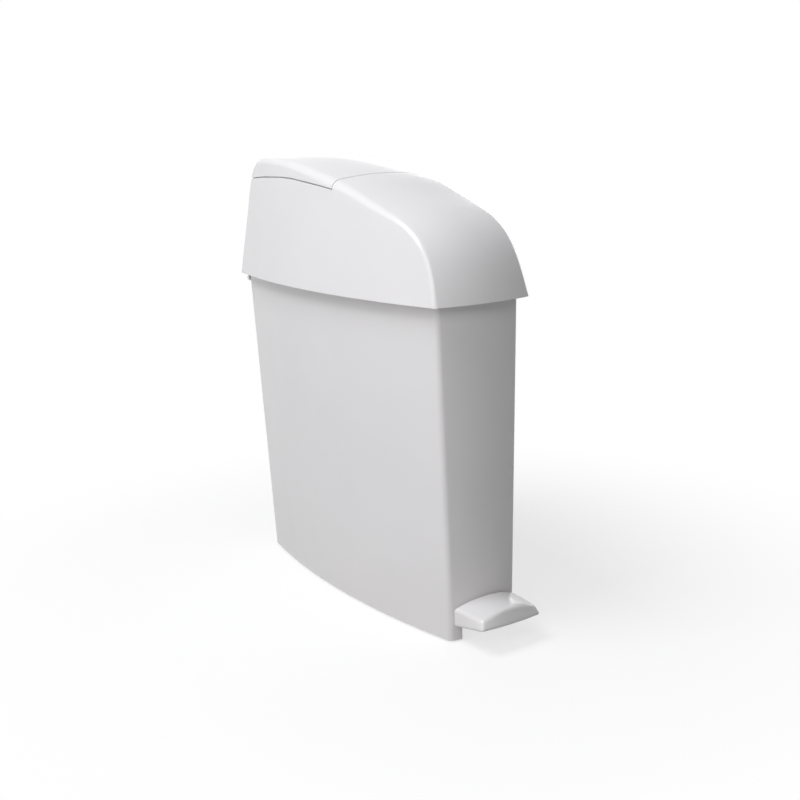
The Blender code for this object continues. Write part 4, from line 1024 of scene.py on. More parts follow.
@dataclass(frozen=True)
class Screw:
    """Pan-head screw with a cross recess."""

    length: float = 0.0085
    shank_radius: float = 0.0014
    head_radius: float = 0.003
    head_height: float = 0.0018
    recess_half: float = 0.0017
    recess_width: float = 0.0006
    recess_depth: float = 0.0009
    hole_gap: float = 0.0003

    def shape(self, head: Sequence[float], aim: Sequence[float]) -> Solid:
        """Screw whose head's seat lies at a place.

        Args:
            head: Middle of the head's seat.
            aim: Direction of the shank.

        Returns:
            The screw.
        """
        top = self.head_height
        crown = [(0.0, -top)] + [
            (self.head_radius * math.sin(angle), -top * (0.35 + 0.65 * math.cos(angle)))
            for angle in np.linspace(0.25, math.pi / 2, 7)]
        shank = [(self.head_radius, -0.0002), (self.head_radius - 0.0002, 0.0), (self.shank_radius, 0.0)]
        threads: list[Point] = []
        pitch = 0.0009
        turns = int((self.length - 0.0022) / pitch)
        for turn in range(turns):
            start = 0.0006 + turn * pitch
            threads += [(self.shank_radius * 0.80, start), (self.shank_radius, start + pitch / 2)]
        tip = [(self.shank_radius * 0.80, self.length - 0.0014), (0.0, self.length)]
        made = Solid.turned(crown + shank + threads + tip, steps=36)
        low, high = -top - 0.001, -top + self.recess_depth
        half, width = self.recess_half, self.recess_width / 2
        made.act(Union.CARVE, Solid.box((-half, -width, low), (half, width, high)),
                 Solid.box((-width, -half, low), (width, half, high)))
        turn = Vector(aim).to_track_quat("Z", "Y").to_matrix().to_4x4()
        return made.moved(Matrix.Translation(head) @ turn)

    def hole(self, head: Sequence[float], aim: Sequence[float]) -> Solid:
        """Clearance hole for the screw."""
        aim = Vector(aim).normalized()
        start = Vector(head) - aim * self.hole_gap
        end = Vector(head) + aim * (self.length + self.hole_gap)
        return Solid.bar(self.shank_radius + self.hole_gap, start, end, 32)


def pin_solid(radius: float, head_radius: float, head_length: float, length: float) -> Solid:
    """Headed pin along Z with broken edges.

    Args:
        radius: Radius of the shank.
        head_radius: Radius of the head.
        head_length: Length of the head, which lies before the origin.
        length: Length of the shank, which starts at the origin.

    Returns:
        The pin.
    """
    edge = 0.0003
    return Solid.turned(((0.0, -head_length), (head_radius - 2 * edge, -head_length),
                         (head_radius - edge / 2, -head_length + edge / 2),
                         (head_radius, -head_length + 2 * edge), (head_radius, -edge),
                         (head_radius - edge, 0.0), (radius, 0.0), (radius, length - 2 * edge),
                         (radius - edge, length), (0.0, length)))


# ---------------------------------------------------------------- sub-assemblies


@dataclass
class Body:
    """Tapered body with its raised floor, foot posts, notch and feet."""

    wall: float = AT.wall
    rim_radius: float = 0.0010
    foot_edge: float = 0.0007
    fillet: float = 0.005
    under_fillet: float = 0.003
    notch_half_width: float = 0.031
    notch_top_z: float = 0.038
    notch_corner: float = 0.004
    post_radius: float = 0.008
    stem_radius: float = 0.003
    stem_length: float = 0.006
    pad_radius: float = 0.0072
    pad_depth: float = 0.0017
    bush_radius: float = 0.0052

    def section(self) -> list[Point]:
        """Section of the whole shell, from under the floor round the wall to the floor's top."""
        inner = -self.wall
        low, rim = PLAN.low_z, PLAN.rim_z
        under = arc_points((inner - self.under_fillet, AT.floor_under_z - self.under_fillet),
                           self.under_fillet, 90, 0, 5)
        foot = self.foot_edge
        sole = [(inner, low + foot)] + arc_points((-foot, low + foot), foot, 270, 360, 4)
        sole.insert(1, (inner + foot / 3, low + foot / 3))
        sole.insert(2, (inner + foot, low))
        top = self.rim_radius
        outer = [(0.0, low + (rim - low) * step / 6) for step in range(1, 6)]
        head = arc_points((-top, rim - top), top, 0, 90, 4)
        head += arc_points((inner + top, rim - top), top, 90, 180, 4)
        inside = [(inner, rim - (rim - AT.floor_top_z) * step / 6) for step in range(1, 6)]
        fillet = arc_points((inner - self.fillet, AT.floor_top_z + self.fillet), self.fillet, 0, -90, 6)
        return under + sole + outer + head + inside + fillet

    def foot_places(self) -> Iterator[tuple[str, float, float]]:
        """Name and place of each foot."""
        for row, x, y in (("front", 0.035, -0.207), ("rear", 0.031, 0.190)):
            yield f"{row}_left", -x, y
            yield f"{row}_right", x, y

    def build(self, carved: Sequence[Solid]) -> None:
        """Build shell and feet.

        Args:
            carved: Screw holes of the bracket and of the hinges.
        """
        shell = PLAN.swept(self.section()).capped()
        low = PLAN.low_z
        posts = [Solid.bar(self.post_radius, (x, y, low), (x, y, AT.floor_under_z + self.wall / 2))
                 .rounded(0.0005, 2) for _, x, y in self.foot_places()]
        holes = [Solid.bar(self.stem_radius + AT.gap, (x, y, low - AT.overrun),
                           (x, y, low + self.stem_length + AT.gap)) for _, x, y in self.foot_places()]
        notch = Solid.box((-self.notch_half_width, -0.245, low - AT.overrun),
                          (self.notch_half_width, PLAN.low_front_y + 2 * self.wall, self.notch_top_z))
        notch.rounded(self.notch_corner, 6, where=lambda edge: min(
            vert.co.z for vert in edge.verts) > low and abs(edge.verts[0].co.x - edge.verts[1].co.x) < HAIRLINE
            and abs(edge.verts[0].co.z - edge.verts[1].co.z) < HAIRLINE)
        bush = Solid.bar(self.bush_radius + AT.gap, (0, AT.rod_y, AT.floor_under_z - AT.overrun),
                         (0, AT.rod_y, AT.floor_top_z + AT.overrun))
        shell.act(Union.JOIN, *posts)
        shell.act(Union.CARVE, notch, bush, *holes, *carved)
        shell.piece("bin_body", WHITE_SHELL, Rider.BODY, "body_shell")
        self.build_feet()

    def build_feet(self) -> None:
        """Build the four rubber feet with their stems."""
        pad, depth = self.pad_radius, self.pad_depth
        profile = [(0.0, 0.0), (pad - 0.0010, 0.0), (pad - 0.0004, 0.00015), (pad - 0.0001, 0.0005),
                   (pad, 0.0009), (pad, depth - 0.0002), (pad - 0.0002, depth),
                   (self.stem_radius, depth), (self.stem_radius, depth + self.stem_length - 0.0006),
                   (self.stem_radius - 0.0006, depth + self.stem_length),
                   (0.0, depth + self.stem_length)]
        for name, x, y in self.foot_places():
            foot = Solid.turned(profile).moved(Matrix.Translation((x, y, 0)))
            foot.piece(f"foot_pad_{name}", BLACK_RUBBER, Rider.BODY, f"foot_{name}")


@dataclass
class Pedal:
    """Tread on the front end of the long lever, and the two screws between them."""

    half_width: float = 0.0424
    top_inset: float = 0.004
    front_y: float = -0.279
    front_bow: float = 0.003
    rear_gap: float = 0.0009
    rear_low_z: float = 0.020
    rear_top_z: float = 0.0415
    front_low_z: float = 0.0312
    front_top_z: float = 0.0412
    crown: float = 0.0088
    crown_power: float = 2.2
    setback: float = 0.005
    edge_radius: float = 0.0032
    lever_half_width: float = 0.009
    lever_thickness: float = 0.004
    lever_front: float = 0.203
    lever_rear: float = 0.26961
    hub_radius: float = 0.0065
    hub_proud: float = 0.0006
    pin_radius: float = 0.0025
    screw: Screw = Screw()

    def tread(self) -> Solid:
        """Crowned tread with rounded edges."""
        made = Solid()
        bmesh.ops.create_cube(made.mesh, size=2.0)
        for axis, cuts in ((0, 21), (1, 9), (2, 3)):
            edges = [edge for edge in made.mesh.edges
                     if abs(edge.verts[0].co[axis] - edge.verts[1].co[axis]) > HAIRLINE]
            bmesh.ops.subdivide_edges(made.mesh, edges=edges, cuts=cuts, use_grid_fill=True)
        for vert in made.mesh.verts:
            vert.co = self.tread_place(*vert.co)
        made.mended()
        return made.rounded(self.edge_radius, 4, 40)

    def tread_place(self, across_share: float, depth_share: float, height_share: float) -> Vector:
        """Map a corner share of the cube (each from -1 to 1) to its place on the tread.

        Args:
            across_share: Share across the bin.
            depth_share: Share from the front to the rear.
            height_share: Share from the underside to the top.

        Returns:
            The place.
        """
        rise = 1 - abs(across_share) ** self.crown_power
        back = (depth_share + 1) / 2
        up = (height_share + 1) / 2
        half = self.half_width - self.top_inset * up * (1 - back)
        x = across_share * half
        front_low = self.front_y - self.front_bow * rise
        front = front_low + self.setback * up
        rear = PLAN.front_face_y(x, self.rear_top_z, self.rear_gap)
        low_z = self.front_low_z + (self.rear_low_z - self.front_low_z) * back
        swell = 4 * back * (1 - back) * 0.0008
        top_z = (self.front_top_z + (self.rear_top_z - self.front_top_z) * back
                 + self.crown * rise + swell)
        return Vector((x, front + (rear - front) * back, low_z + (top_z - low_z) * up))

    def screw_heads(self) -> list[tuple[str, Vector]]:
        """Name and head's place of each screw."""
        first = -self.lever_front + 0.008
        low = -self.lever_thickness / 2 - AT.gap
        return [(name, AT.lever_place() @ Vector((0, y, low)))
                for name, y in (("front", first), ("rear", first + 0.020))]

    def build(self) -> None:
        """Build tread, lever and screws."""
        place = AT.lever_place()
        up = place.to_3x3() @ Vector((0, 0, 1))
        half, thick = self.lever_half_width, self.lever_thickness / 2
        pocket = Solid.box((-half - AT.gap, -self.lever_front - AT.gap, -self.rear_top_z),
                           (half + AT.gap, 0, thick + AT.gap)).moved(place)
        holes = [self.screw.hole(head, up) for _, head in self.screw_heads()]
        tread = self.tread().act(Union.CARVE, pocket, *[hole.copied() for hole in holes])
        tread.piece("tread", WHITE_SHELL, Rider.PEDAL, "pedal_tread")
        strip = Solid.box((-half, -self.lever_front, -thick), (half, self.lever_rear, thick))
        strip.rounded(0.0006, 2).moved(place)
        reach = half + self.hub_proud
        hub = Solid.bar(self.hub_radius, (-reach, *AT.pivot), (reach, *AT.pivot)).rounded(0.0005, 2)
        bore = Solid.bar(self.pin_radius + AT.running_gap, (-reach - AT.overrun, *AT.pivot),
                         (reach + AT.overrun, *AT.pivot))
        strip.act(Union.JOIN, hub).act(Union.CARVE, bore, *holes)
        strip.piece("lever", ZINC_STEEL, Rider.PEDAL, "pedal_lever")
        for name, head in self.screw_heads():
            self.screw.shape(head, up).piece(f"tread_screw_{name}", ZINC_STEEL, Rider.PEDAL,
                                             f"pedal_screw_{name}")


@dataclass
class Pivot:
    """Bracket under the floor that carries the lever on a headed pin."""

    cheek_x: float = 0.0105
    thickness: float = 0.0025
    half_length: float = 0.013
    edge: float = 0.007
    flange: float = 0.012
    pin_radius: float = 0.0025
    head_radius: float = 0.0042
    head_length: float = 0.0016
    clip_length: float = 0.0012
    screw: Screw = Screw(length=0.005)

    @property
    def outer_x(self) -> float:
        """Outer face of a cheek."""
        return self.cheek_x + self.thickness

    def screw_heads(self) -> list[tuple[str, Vector]]:
        """Name and head's place of each screw."""
        x = self.outer_x + self.flange / 2
        z = AT.floor_under_z - self.thickness - 2 * AT.gap
        return [("left", Vector((-x, AT.pivot[0], z))), ("right", Vector((x, AT.pivot[0], z)))]

    def holes(self) -> list[Solid]:
        """Clearance holes of the screws."""
        return [self.screw.hole(head, (0, 0, 1)) for _, head in self.screw_heads()]

    def build(self) -> None:
        """Build bracket, pin, clip and screws."""
        y, z = AT.pivot
        top = AT.floor_under_z - AT.gap
        reach = self.outer_x + self.flange
        plate = Solid.box((-reach, y - self.half_length, top - self.thickness),
                          (reach, y + self.half_length, top))
        plate.rounded(0.003, 5, where=lambda edge: abs(edge.verts[0].co.z - edge.verts[1].co.z) > HAIRLINE)
        plate.rounded(0.0004, 2, 60)
        cheeks = []
        for side in (-1, 1):
            outline = [(y - self.half_length, top - self.thickness / 2),
                       (y - self.half_length, z + 0.002), *arc_points((y, z), self.edge, 200, 340, 14),
                       (y + self.half_length, z + 0.002), (y + self.half_length, top - self.thickness / 2)]
            low, high = sorted((side * self.cheek_x, side * self.outer_x))
            cheeks.append(Solid.hulled(outline, low, high).rounded(0.0004, 2, 60))
        bore = Solid.bar(self.pin_radius + AT.running_gap, (-reach, y, z), (reach, y, z))
        plate.act(Union.JOIN, *cheeks).act(Union.CARVE, bore, *self.holes())
        plate.piece("lever_bracket", ZINC_STEEL, Rider.BODY, "pivot_bracket")
        length = 2 * self.outer_x + 2 * AT.gap + 2 * self.clip_length
        pin = pin_solid(self.pin_radius, self.head_radius, self.head_length, length)
        pin.moved(across(-self.outer_x - AT.gap, AT.pivot))
        pin.piece("lever_pin", ZINC_STEEL, Rider.BODY, "lever_pivot_pin")
        bore_radius, edge = self.pin_radius + AT.gap, 0.0002
        clip = Solid.turned(((bore_radius, edge), (bore_radius + edge, 0.0),
                             (self.head_radius - edge, 0.0), (self.head_radius, edge),
                             (self.head_radius, self.clip_length - edge),
                             (self.head_radius - edge, self.clip_length),
                             (bore_radius + edge, self.clip_length),
                             (bore_radius, self.clip_length - edge)), closed=True)
        clip.moved(across(self.outer_x + AT.gap, AT.pivot))
        clip.piece("lever_pin_clip", ZINC_STEEL, Rider.BODY, "pivot_pin_clip")
        for side, head in self.screw_heads():
            self.screw.shape(head, (0, 0, 1)).piece(f"bracket_fixing_{side}", ZINC_STEEL, Rider.BODY,
                                                    f"bracket_screw_{side}")


@dataclass
class LiftRod:
    """Push rod at the rear wall with its caps, bushes and cover channel."""

    radius: float = 0.003
    cap_radius: float = 0.006
    cap_height: float = 0.009
    bore_depth: float = 0.006
    foot_radius: float = 0.005
    foot_height: float = 0.008
    top_z: float = 0.50359
    lever_thickness: float = 0.004
    bush_radius: float = 0.0052
    flange_radius: float = 0.0064
    flange_height: float = 0.0015
    bush_length: float = 0.0035
    channel_half_width: float = 0.0105
    channel_wall: float = 0.0018
    channel_front_y: float = 0.19711
    channel_top_z: float = 0.384
    channel_cap: float = 0.003

    def build(self) -> None:
        """Build rod, caps, bushes and channel."""
        y, gap = AT.rod_y, AT.gap
        lever_top = (AT.pivot[1] - (y - AT.pivot[0]) * math.tan(AT.tilt)
                     + self.lever_thickness / 2 / math.cos(AT.tilt))
        foot_low = lever_top + gap
        socket = self.radius + gap
        web = self.foot_height - self.bore_depth
        r, h = self.foot_radius, self.foot_height
        dome = [(r * math.sin(a), web * (1 - math.cos(a))) for a in np.linspace(0, math.pi / 2, 9)]
        foot = Solid.turned([*dome, (r, h - 0.0004), (r - 0.0004, h), (socket, h), (socket, web),
                             (0.0, web)])
        foot.moved(Matrix.Translation((0, y, foot_low)))
        foot.piece("rod_shoe", GREY_PLASTIC, Rider.ROD, "rod_foot_cap")
        cap_low = self.top_z - self.cap_height
        r, h = self.cap_radius, self.cap_height
        crown = arc_points((r * 0.72, h - r * 0.28), r * 0.28, 0, 90, 6)
        cap = Solid.turned([(0.0, self.bore_depth), (socket, self.bore_depth), (socket, 0.0),
                            (r - 0.0004, 0.0), (r, 0.0004), *crown, (0.0, h)])
        cap.moved(Matrix.Translation((0, y, cap_low)))
        cap.piece("rod_cap", GREY_PLASTIC, Rider.ROD, "rod_top_cap")
        rod = Solid.bar(self.radius, (0, y, foot_low + web + gap),
                        (0, y, cap_low + self.bore_depth - gap)).rounded(0.0004, 2)
        rod.piece("rod", ZINC_STEEL, Rider.ROD, "push_rod")
        for name, seat in (("lower", AT.floor_top_z + gap), ("upper", self.channel_top_z + gap)):
            bore, edge = self.radius + AT.running_gap, 0.0003
            bush = Solid.turned(((bore, -self.bush_length), (self.bush_radius - edge, -self.bush_length),
                                 (self.bush_radius, edge - self.bush_length), (self.bush_radius, 0.0),
                                 (self.flange_radius, 0.0),
                                 (self.flange_radius, self.flange_height - edge),
                                 (self.flange_radius - edge, self.flange_height),
                                 (bore + edge, self.flange_height), (bore, self.flange_height - edge)),
                                closed=True)
            bush.moved(Matrix.Translation((0, y, seat)))
            bush.piece(f"rod_guide_{name}", GREY_PLASTIC, Rider.BODY, f"rod_bush_{name}")
        self.build_channel()

    def build_channel(self) -> None:
        """Build the channel that covers the rod."""
        half, wall, low = self.channel_half_width, self.channel_wall, AT.floor_top_z + AT.gap
        rear = PLAN.rear_y(PLAN.rim_z) + 0.008
        front = self.channel_front_y
        upright = lambda edge: abs(edge.verts[0].co.z - edge.verts[1].co.z) > HAIRLINE
        cover = Solid.box((-half, front, low), (half, rear, self.channel_top_z))
        cover.rounded(0.0025, 5, where=upright)
        cover.rounded(0.0008, 2, 60, where=lambda edge: edge.verts[0].co.z > self.channel_top_z - 1e-4
                      and edge.verts[1].co.z > self.channel_top_z - 1e-4)
        inside = Solid.box((wall - half, front + wall, low - AT.overrun),
                           (half - wall, rear + AT.overrun, self.channel_top_z - self.channel_cap))
        hole = Solid.bar(self.bush_radius + AT.gap, (0, AT.rod_y, self.channel_top_z - 0.006),
                         (0, AT.rod_y, self.channel_top_z + AT.overrun))
        room = PLAN.block(AT.floor_under_z, PLAN.rim_z, -AT.wall - AT.gap)
        cover.act(Union.KEEP, room).act(Union.CARVE, inside, hole)
        cover.piece("rod_channel", WHITE_INNER, Rider.BODY, "rod_guide_channel")


@dataclass
class BagRing:
    """Ring that hangs in the body's mouth and clamps the bag."""

    gap: float = 0.0004
    thickness: float = 0.002
    depth: float = 0.014
    flange: float = 0.0012

    def build(self) -> None:
        """Build the ring."""
        outer = -AT.wall - self.gap
        inner = outer - self.thickness
        seat = PLAN.rim_z + AT.gap
        top, low, edge = seat + self.flange, PLAN.rim_z - self.depth, 0.0004
        lip = -AT.gap
        section = [(outer, low + edge), (outer, seat), (lip - 0.0001, seat),
                   (lip, seat + edge / 2), (lip, top - edge), (lip - edge, top),
                   (inner + 0.0012, top), (inner + 0.0004, top - 0.0003), (inner, top - 0.0011),
                   (inner, low + edge), (inner + edge, low), (outer - edge, low), (outer, low + edge)]
        ring = PLAN.swept(section).mended()
        ring.piece("bag_clamp", GREY_PLASTIC, Rider.BODY, "bag_ring")


@dataclass
class Hood:
    """Hood shell with its hinge ears, the frame inside it, the flap's seat and the flap's pin."""

    rim_edge: float = 0.00045
    spare_skirt: float = 0.003
    knuckle_radius: float = 0.004
    barrel_half: float = 0.0237
    ear_width: float = 0.006
    pin_radius: float = 0.0016
    pin_head_radius: float = 0.003
    pin_head_length: float = 0.0016
    web_depth: float = 0.010
    hinge_x: float = 0.030
    hinge_half_width: float = 0.008
    hinge_pin_radius: float = 0.002
    hinge_barrel_radius: float = 0.0045
    lower_ear_width: float = 0.0055
    lower_ear_top_z: float = 0.396
    lower_ear_half_depth: float = 0.003
    frame_low_z: float = 0.4058
    frame_thickness: float = 0.003
    frame_side_gap: float = 0.0010
    frame_margin: float = 0.008
    seat_clearance: float = 0.0005
    seat_thickness: float = 0.002
    seat_ledge: float = 0.008
    seat_upstand: float = 0.007
    seat_room_half: float = 0.034
    seat_room_depth: float = 0.035

    def upper_ear(self, side: int) -> Solid:
        """Ear at the hood's rear edge that carries the flap's pin."""
        y, z = AT.flap_axis
        low, high = sorted((side * (self.barrel_half + AT.gap),
                            side * (self.barrel_half + AT.gap + self.ear_width)))
        outline = ring_points((y, z), self.knuckle_radius)
        outline += [(y - self.web_depth, z - 0.0114), (y - self.web_depth, z - 0.0050)]
        return Solid.hulled(outline, low, high).rounded(0.0004, 2, 60)

    def lower_ear(self, middle: float) -> Solid:
        """Ear under the hood's rear edge that hangs on a hinge pin."""
        y, z = AT.hood_axis
        half = self.lower_ear_width / 2
        outline = ring_points((y, z), self.hinge_barrel_radius)
        outline += [(y - self.lower_ear_half_depth, self.lower_ear_top_z),
                    (y + self.lower_ear_half_depth, self.lower_ear_top_z)]
        return Solid.hulled(outline, middle - half, middle + half).rounded(0.0004, 2, 60)

    def build(self) -> None:
        """Build the hood's pieces."""
        shell = HOOD.opened(HOOD.skin(self.spare_skirt), -HOOD.seam_gap / 2).walled(HOOD.wall)
        reach = 2 * HOOD.half_depth
        below = Solid.box((-reach, -reach, 0), (reach, reach, HOOD.skirt_z))
        shell.act(Union.CARVE, below).rounded(self.rim_edge, 2, 55)
        step = self.hinge_half_width + AT.gap + self.lower_ear_width / 2
        ears = [self.upper_ear(side) for side in (-1, 1)]
        ears += [self.lower_ear(side * self.hinge_x + way * step) for side in (-1, 1) for way in (-1, 1)]
        reach = HOOD.half_width
        bores = [Solid.bar(self.pin_radius + AT.running_gap, (-reach, *AT.flap_axis),
                           (reach, *AT.flap_axis)),
                 Solid.bar(self.hinge_pin_radius + AT.running_gap, (-reach, *AT.hood_axis),
                           (reach, *AT.hood_axis))]
        shell.act(Union.JOIN, *ears).act(Union.CARVE, *bores)
        shell.piece("hood", WHITE_SHELL, Rider.HOOD, "hood_shell")
        start = -self.barrel_half - self.ear_width - 2 * AT.gap
        pin = pin_solid(self.pin_radius, self.pin_head_radius, self.pin_head_length,
                        self.pin_head_length - 2 * start)
        pin.moved(across(start, AT.flap_axis)).piece("flap_pin", ZINC_STEEL, Rider.HOOD,
                                                     "flap_hinge_pin")
        self.build_frame()
        self.build_seat()

    def build_frame(self) -> None:
        """Build the flat frame that closes the hood's underside."""
        low, high = self.frame_low_z, self.frame_low_z + self.frame_thickness
        plate = HOOD.inner_skin(HOOD.wall + self.frame_side_gap).capped()
        reach = HOOD.half_depth
        plate.act(Union.KEEP, Solid.box((-reach, -reach, low), (reach, reach, high)))
        plate.act(Union.CARVE, PLAN.block(low - AT.overrun, high + AT.overrun, -self.frame_margin))
        bmesh.ops.dissolve_limit(plate.mesh, angle_limit=math.radians(1.0),
                                 verts=plate.mesh.verts[:], edges=plate.mesh.edges[:])
        plate.rounded(0.0004, 2, 60)
        plate.piece("hood_plate", WHITE_INNER, Rider.HOOD, "hood_frame")

    def build_seat(self) -> None:
        """Build the ledge under the seam on which the closed flap rests."""
        band = HOOD.flap_part(HOOD.inner_skin(HOOD.wall + self.seat_clearance), -self.seat_ledge)
        band = HOOD.opened(band, self.seat_upstand).walled(self.seat_thickness)
        band.rounded(0.0004, 2, 60)
        y = AT.flap_axis[0]
        room = Solid.box((-self.seat_room_half, y - self.seat_room_depth, HOOD.skirt_z),
                         (self.seat_room_half, HOOD.half_depth, HOOD.skirt_z + 2 * HOOD.rise))
        band.act(Union.CARVE, room)
        band.piece("flap_ledge", WHITE_INNER, Rider.HOOD, "flap_seat")


@dataclass
class Flap:
    """Flap with its barrel, the crank under it and the crank's screws."""

    rim_edge: float = 0.00045
    barrel_radius: float = 0.004
    barrel_half: float = 0.0237
    pin_radius: float = 0.0016
    web_depth: float = 0.010
    crank_top_z: float = 0.5428
    crank_thickness: float = 0.003
    crank_front_y: float = 0.144
    crank_rear_y: float = 0.190
    crank_tip: Point = (0.20611, 0.50689)
    crank_tip_radius: float = 0.003
    crank_half_width: float = 0.005
    crank_arm_depth: float = 0.007
    boss_radius: float = 0.0035
    boss_height: float = 0.005
    screw: Screw = Screw(length=0.0075)

    def screw_heads(self) -> list[tuple[str, Vector]]:
        """Name and head's place of each screw."""
        z = self.crank_top_z - self.crank_thickness - AT.gap
        return [("front", Vector((0, self.crank_front_y + 0.007, z))),
                ("rear", Vector((0, self.crank_rear_y - 0.014, z)))]

    def build(self) -> None:
        """Build flap, crank and screws."""
        y, z = AT.flap_axis
        lid = HOOD.flap_part(HOOD.skin(), HOOD.seam_gap / 2).walled(HOOD.wall)
        lid.rounded(self.rim_edge, 2, 55)
        outline = ring_points((y, z), self.barrel_radius)
        outline += [(y - self.web_depth, z + 0.0012), (y - self.web_depth, z + 0.0040)]
        barrel = Solid.hulled(outline, -self.barrel_half, self.barrel_half).rounded(0.0004, 2, 60)
        bosses = [Solid.bar(self.boss_radius, (0, head.y, self.crank_top_z + AT.gap),
                            (0, head.y, self.crank_top_z + self.boss_height + HOOD.wall / 2))
                  for _, head in self.screw_heads()]
        reach = self.barrel_half + AT.overrun
        bore = Solid.bar(self.pin_radius + AT.running_gap, (-reach, y, z), (reach, y, z))
        holes = [self.screw.hole(head, (0, 0, 1)) for _, head in self.screw_heads()]
        lid.act(Union.JOIN, barrel, *bosses).act(Union.CARVE, bore, *[hole.copied() for hole in holes])
        lid.piece("flap", WHITE_SHELL, Rider.FLAP, "flap_lid")
        self.build_crank(holes)

    def build_crank(self, holes: Sequence[Solid]) -> None:
        """Build the crank whose round tip the rod pushes up.

        Args:
            holes: Clearance holes of its screws.
        """
        top, front, rear = self.crank_top_z, self.crank_front_y, self.crank_rear_y
        low = top - self.crank_thickness
        outline = [(front, top), (rear, top),
                   *arc_points(self.crank_tip, self.crank_tip_radius, 0, -180, 16),
                   (rear - self.crank_arm_depth, low), (front, low)]
        crank = Solid.slab(outline, -self.crank_half_width, self.crank_half_width)
        crank.rounded(0.0006, 2, 60).act(Union.CARVE, *holes)
        crank.piece("crank", GREY_PLASTIC, Rider.FLAP, "flap_crank")
        for name, head in self.screw_heads():
            self.screw.shape(head, (0, 0, 1)).piece(f"crank_fixing_{name}", ZINC_STEEL, Rider.FLAP,
                                                    f"crank_screw_{name}")


@dataclass
class RearHinges:
    """Two hinge blocks on the body's rear wall with their pins and screws."""

    middle_x: float = 0.030
    half_width: float = 0.008
    barrel_radius: float = 0.0045
    pin_radius: float = 0.002
    pin_head_radius: float = 0.0034
    pin_head_length: float = 0.0016
    block_height: float = 0.020
    face_y: float = 0.2365
    ear_width: float = 0.0055
    screw_drop: float = 0.0105
    screw: Screw = Screw(length=0.0115)

    def screw_heads(self) -> list[tuple[str, Vector]]:
        """Name and head's place of each screw."""
        z = AT.hood_axis[1] - self.screw_drop
        return [("left", Vector((-self.middle_x, self.face_y + AT.gap, z))),
                ("right", Vector((self.middle_x, self.face_y + AT.gap, z)))]

    def holes(self) -> list[Solid]:
        """Clearance holes of the screws."""
        return [self.screw.hole(head, (0, -1, 0)) for _, head in self.screw_heads()]

    def build(self) -> None:
        """Build blocks, pins and screws."""
        y, z = AT.hood_axis
        low, face_z = z - self.block_height, z - self.barrel_radius
        wall_y = PLAN.rear_y(PLAN.rim_z) - AT.wall
        left, right = self.middle_x - self.half_width, self.middle_x + self.half_width
        block = Solid.slab(((wall_y, low), (self.face_y, low), (self.face_y, z + 0.00225),
                            (wall_y, z + 0.00225)), left, right).rounded(0.0008, 3, 60)
        arm = Solid.hulled([*ring_points((y, z), self.barrel_radius), (wall_y, face_z),
                            (wall_y, z + 0.0018)], left, right).rounded(0.0004, 2, 60)
        room = PLAN.block(PLAN.low_z, PLAN.rim_z, AT.gap)
        bore = Solid.bar(self.pin_radius + AT.running_gap, (left - AT.overrun, y, z),
                         (right + AT.overrun, y, z))
        hole = self.screw.hole(self.screw_heads()[1][1], (0, -1, 0))
        block.act(Union.JOIN, arm).act(Union.CARVE, room, bore, hole)
        for side, head in self.screw_heads():
            turned = block.copied().moved(Matrix.Scale(math.copysign(1, head.x), 4, (1, 0, 0)))
            turned.mended().piece(f"hinge_block_{side}", WHITE_SHELL, Rider.BODY,
                                  f"hood_hinge_block_{side}")
            self.screw.shape(head, (0, -1, 0)).piece(f"hinge_fixing_{side}", ZINC_STEEL, Rider.BODY,
                                                     f"hinge_screw_{side}")
            span = self.half_width + 2 * AT.gap + self.ear_width
            pin = pin_solid(self.pin_radius, self.pin_head_radius, self.pin_head_length, 2 * span)
            pin.moved(across(head.x - span, AT.hood_axis))
            pin.piece(f"hinge_pin_{side}", ZINC_STEEL, Rider.BODY, f"hood_hinge_pin_{side}")


# ---------------------------------------------------------------- stage, lights and camera


@dataclass(frozen=True)
class SoftLamp:
    """Rectangular soft lamp that is aimed at the bin."""

    name: str
    place: tuple[float, float, float]
    size: Point
    power: float
    aim: tuple[float, float, float] = (0.0, 0.0, 0.28)
    color: tuple[float, float, float] = (1.0, 1.0, 1.0)

    def hang(self) -> None:
        """Add the lamp."""
        light = bpy.data.lights.new(self.name, "AREA")
        light.shape = "RECTANGLE"
        light.size, light.size_y = self.size
        light.energy = self.power
        light.color = self.color
        lamp = bpy.data.objects.new(self.name, light)
        bpy.context.scene.collection.objects.link(lamp)
        lamp.location = self.place
        turn = (Vector(self.aim) - Vector(self.place)).to_track_quat("-Z", "Y")
        lamp.rotation_euler = turn.to_euler()
        lamp.visible_camera = False


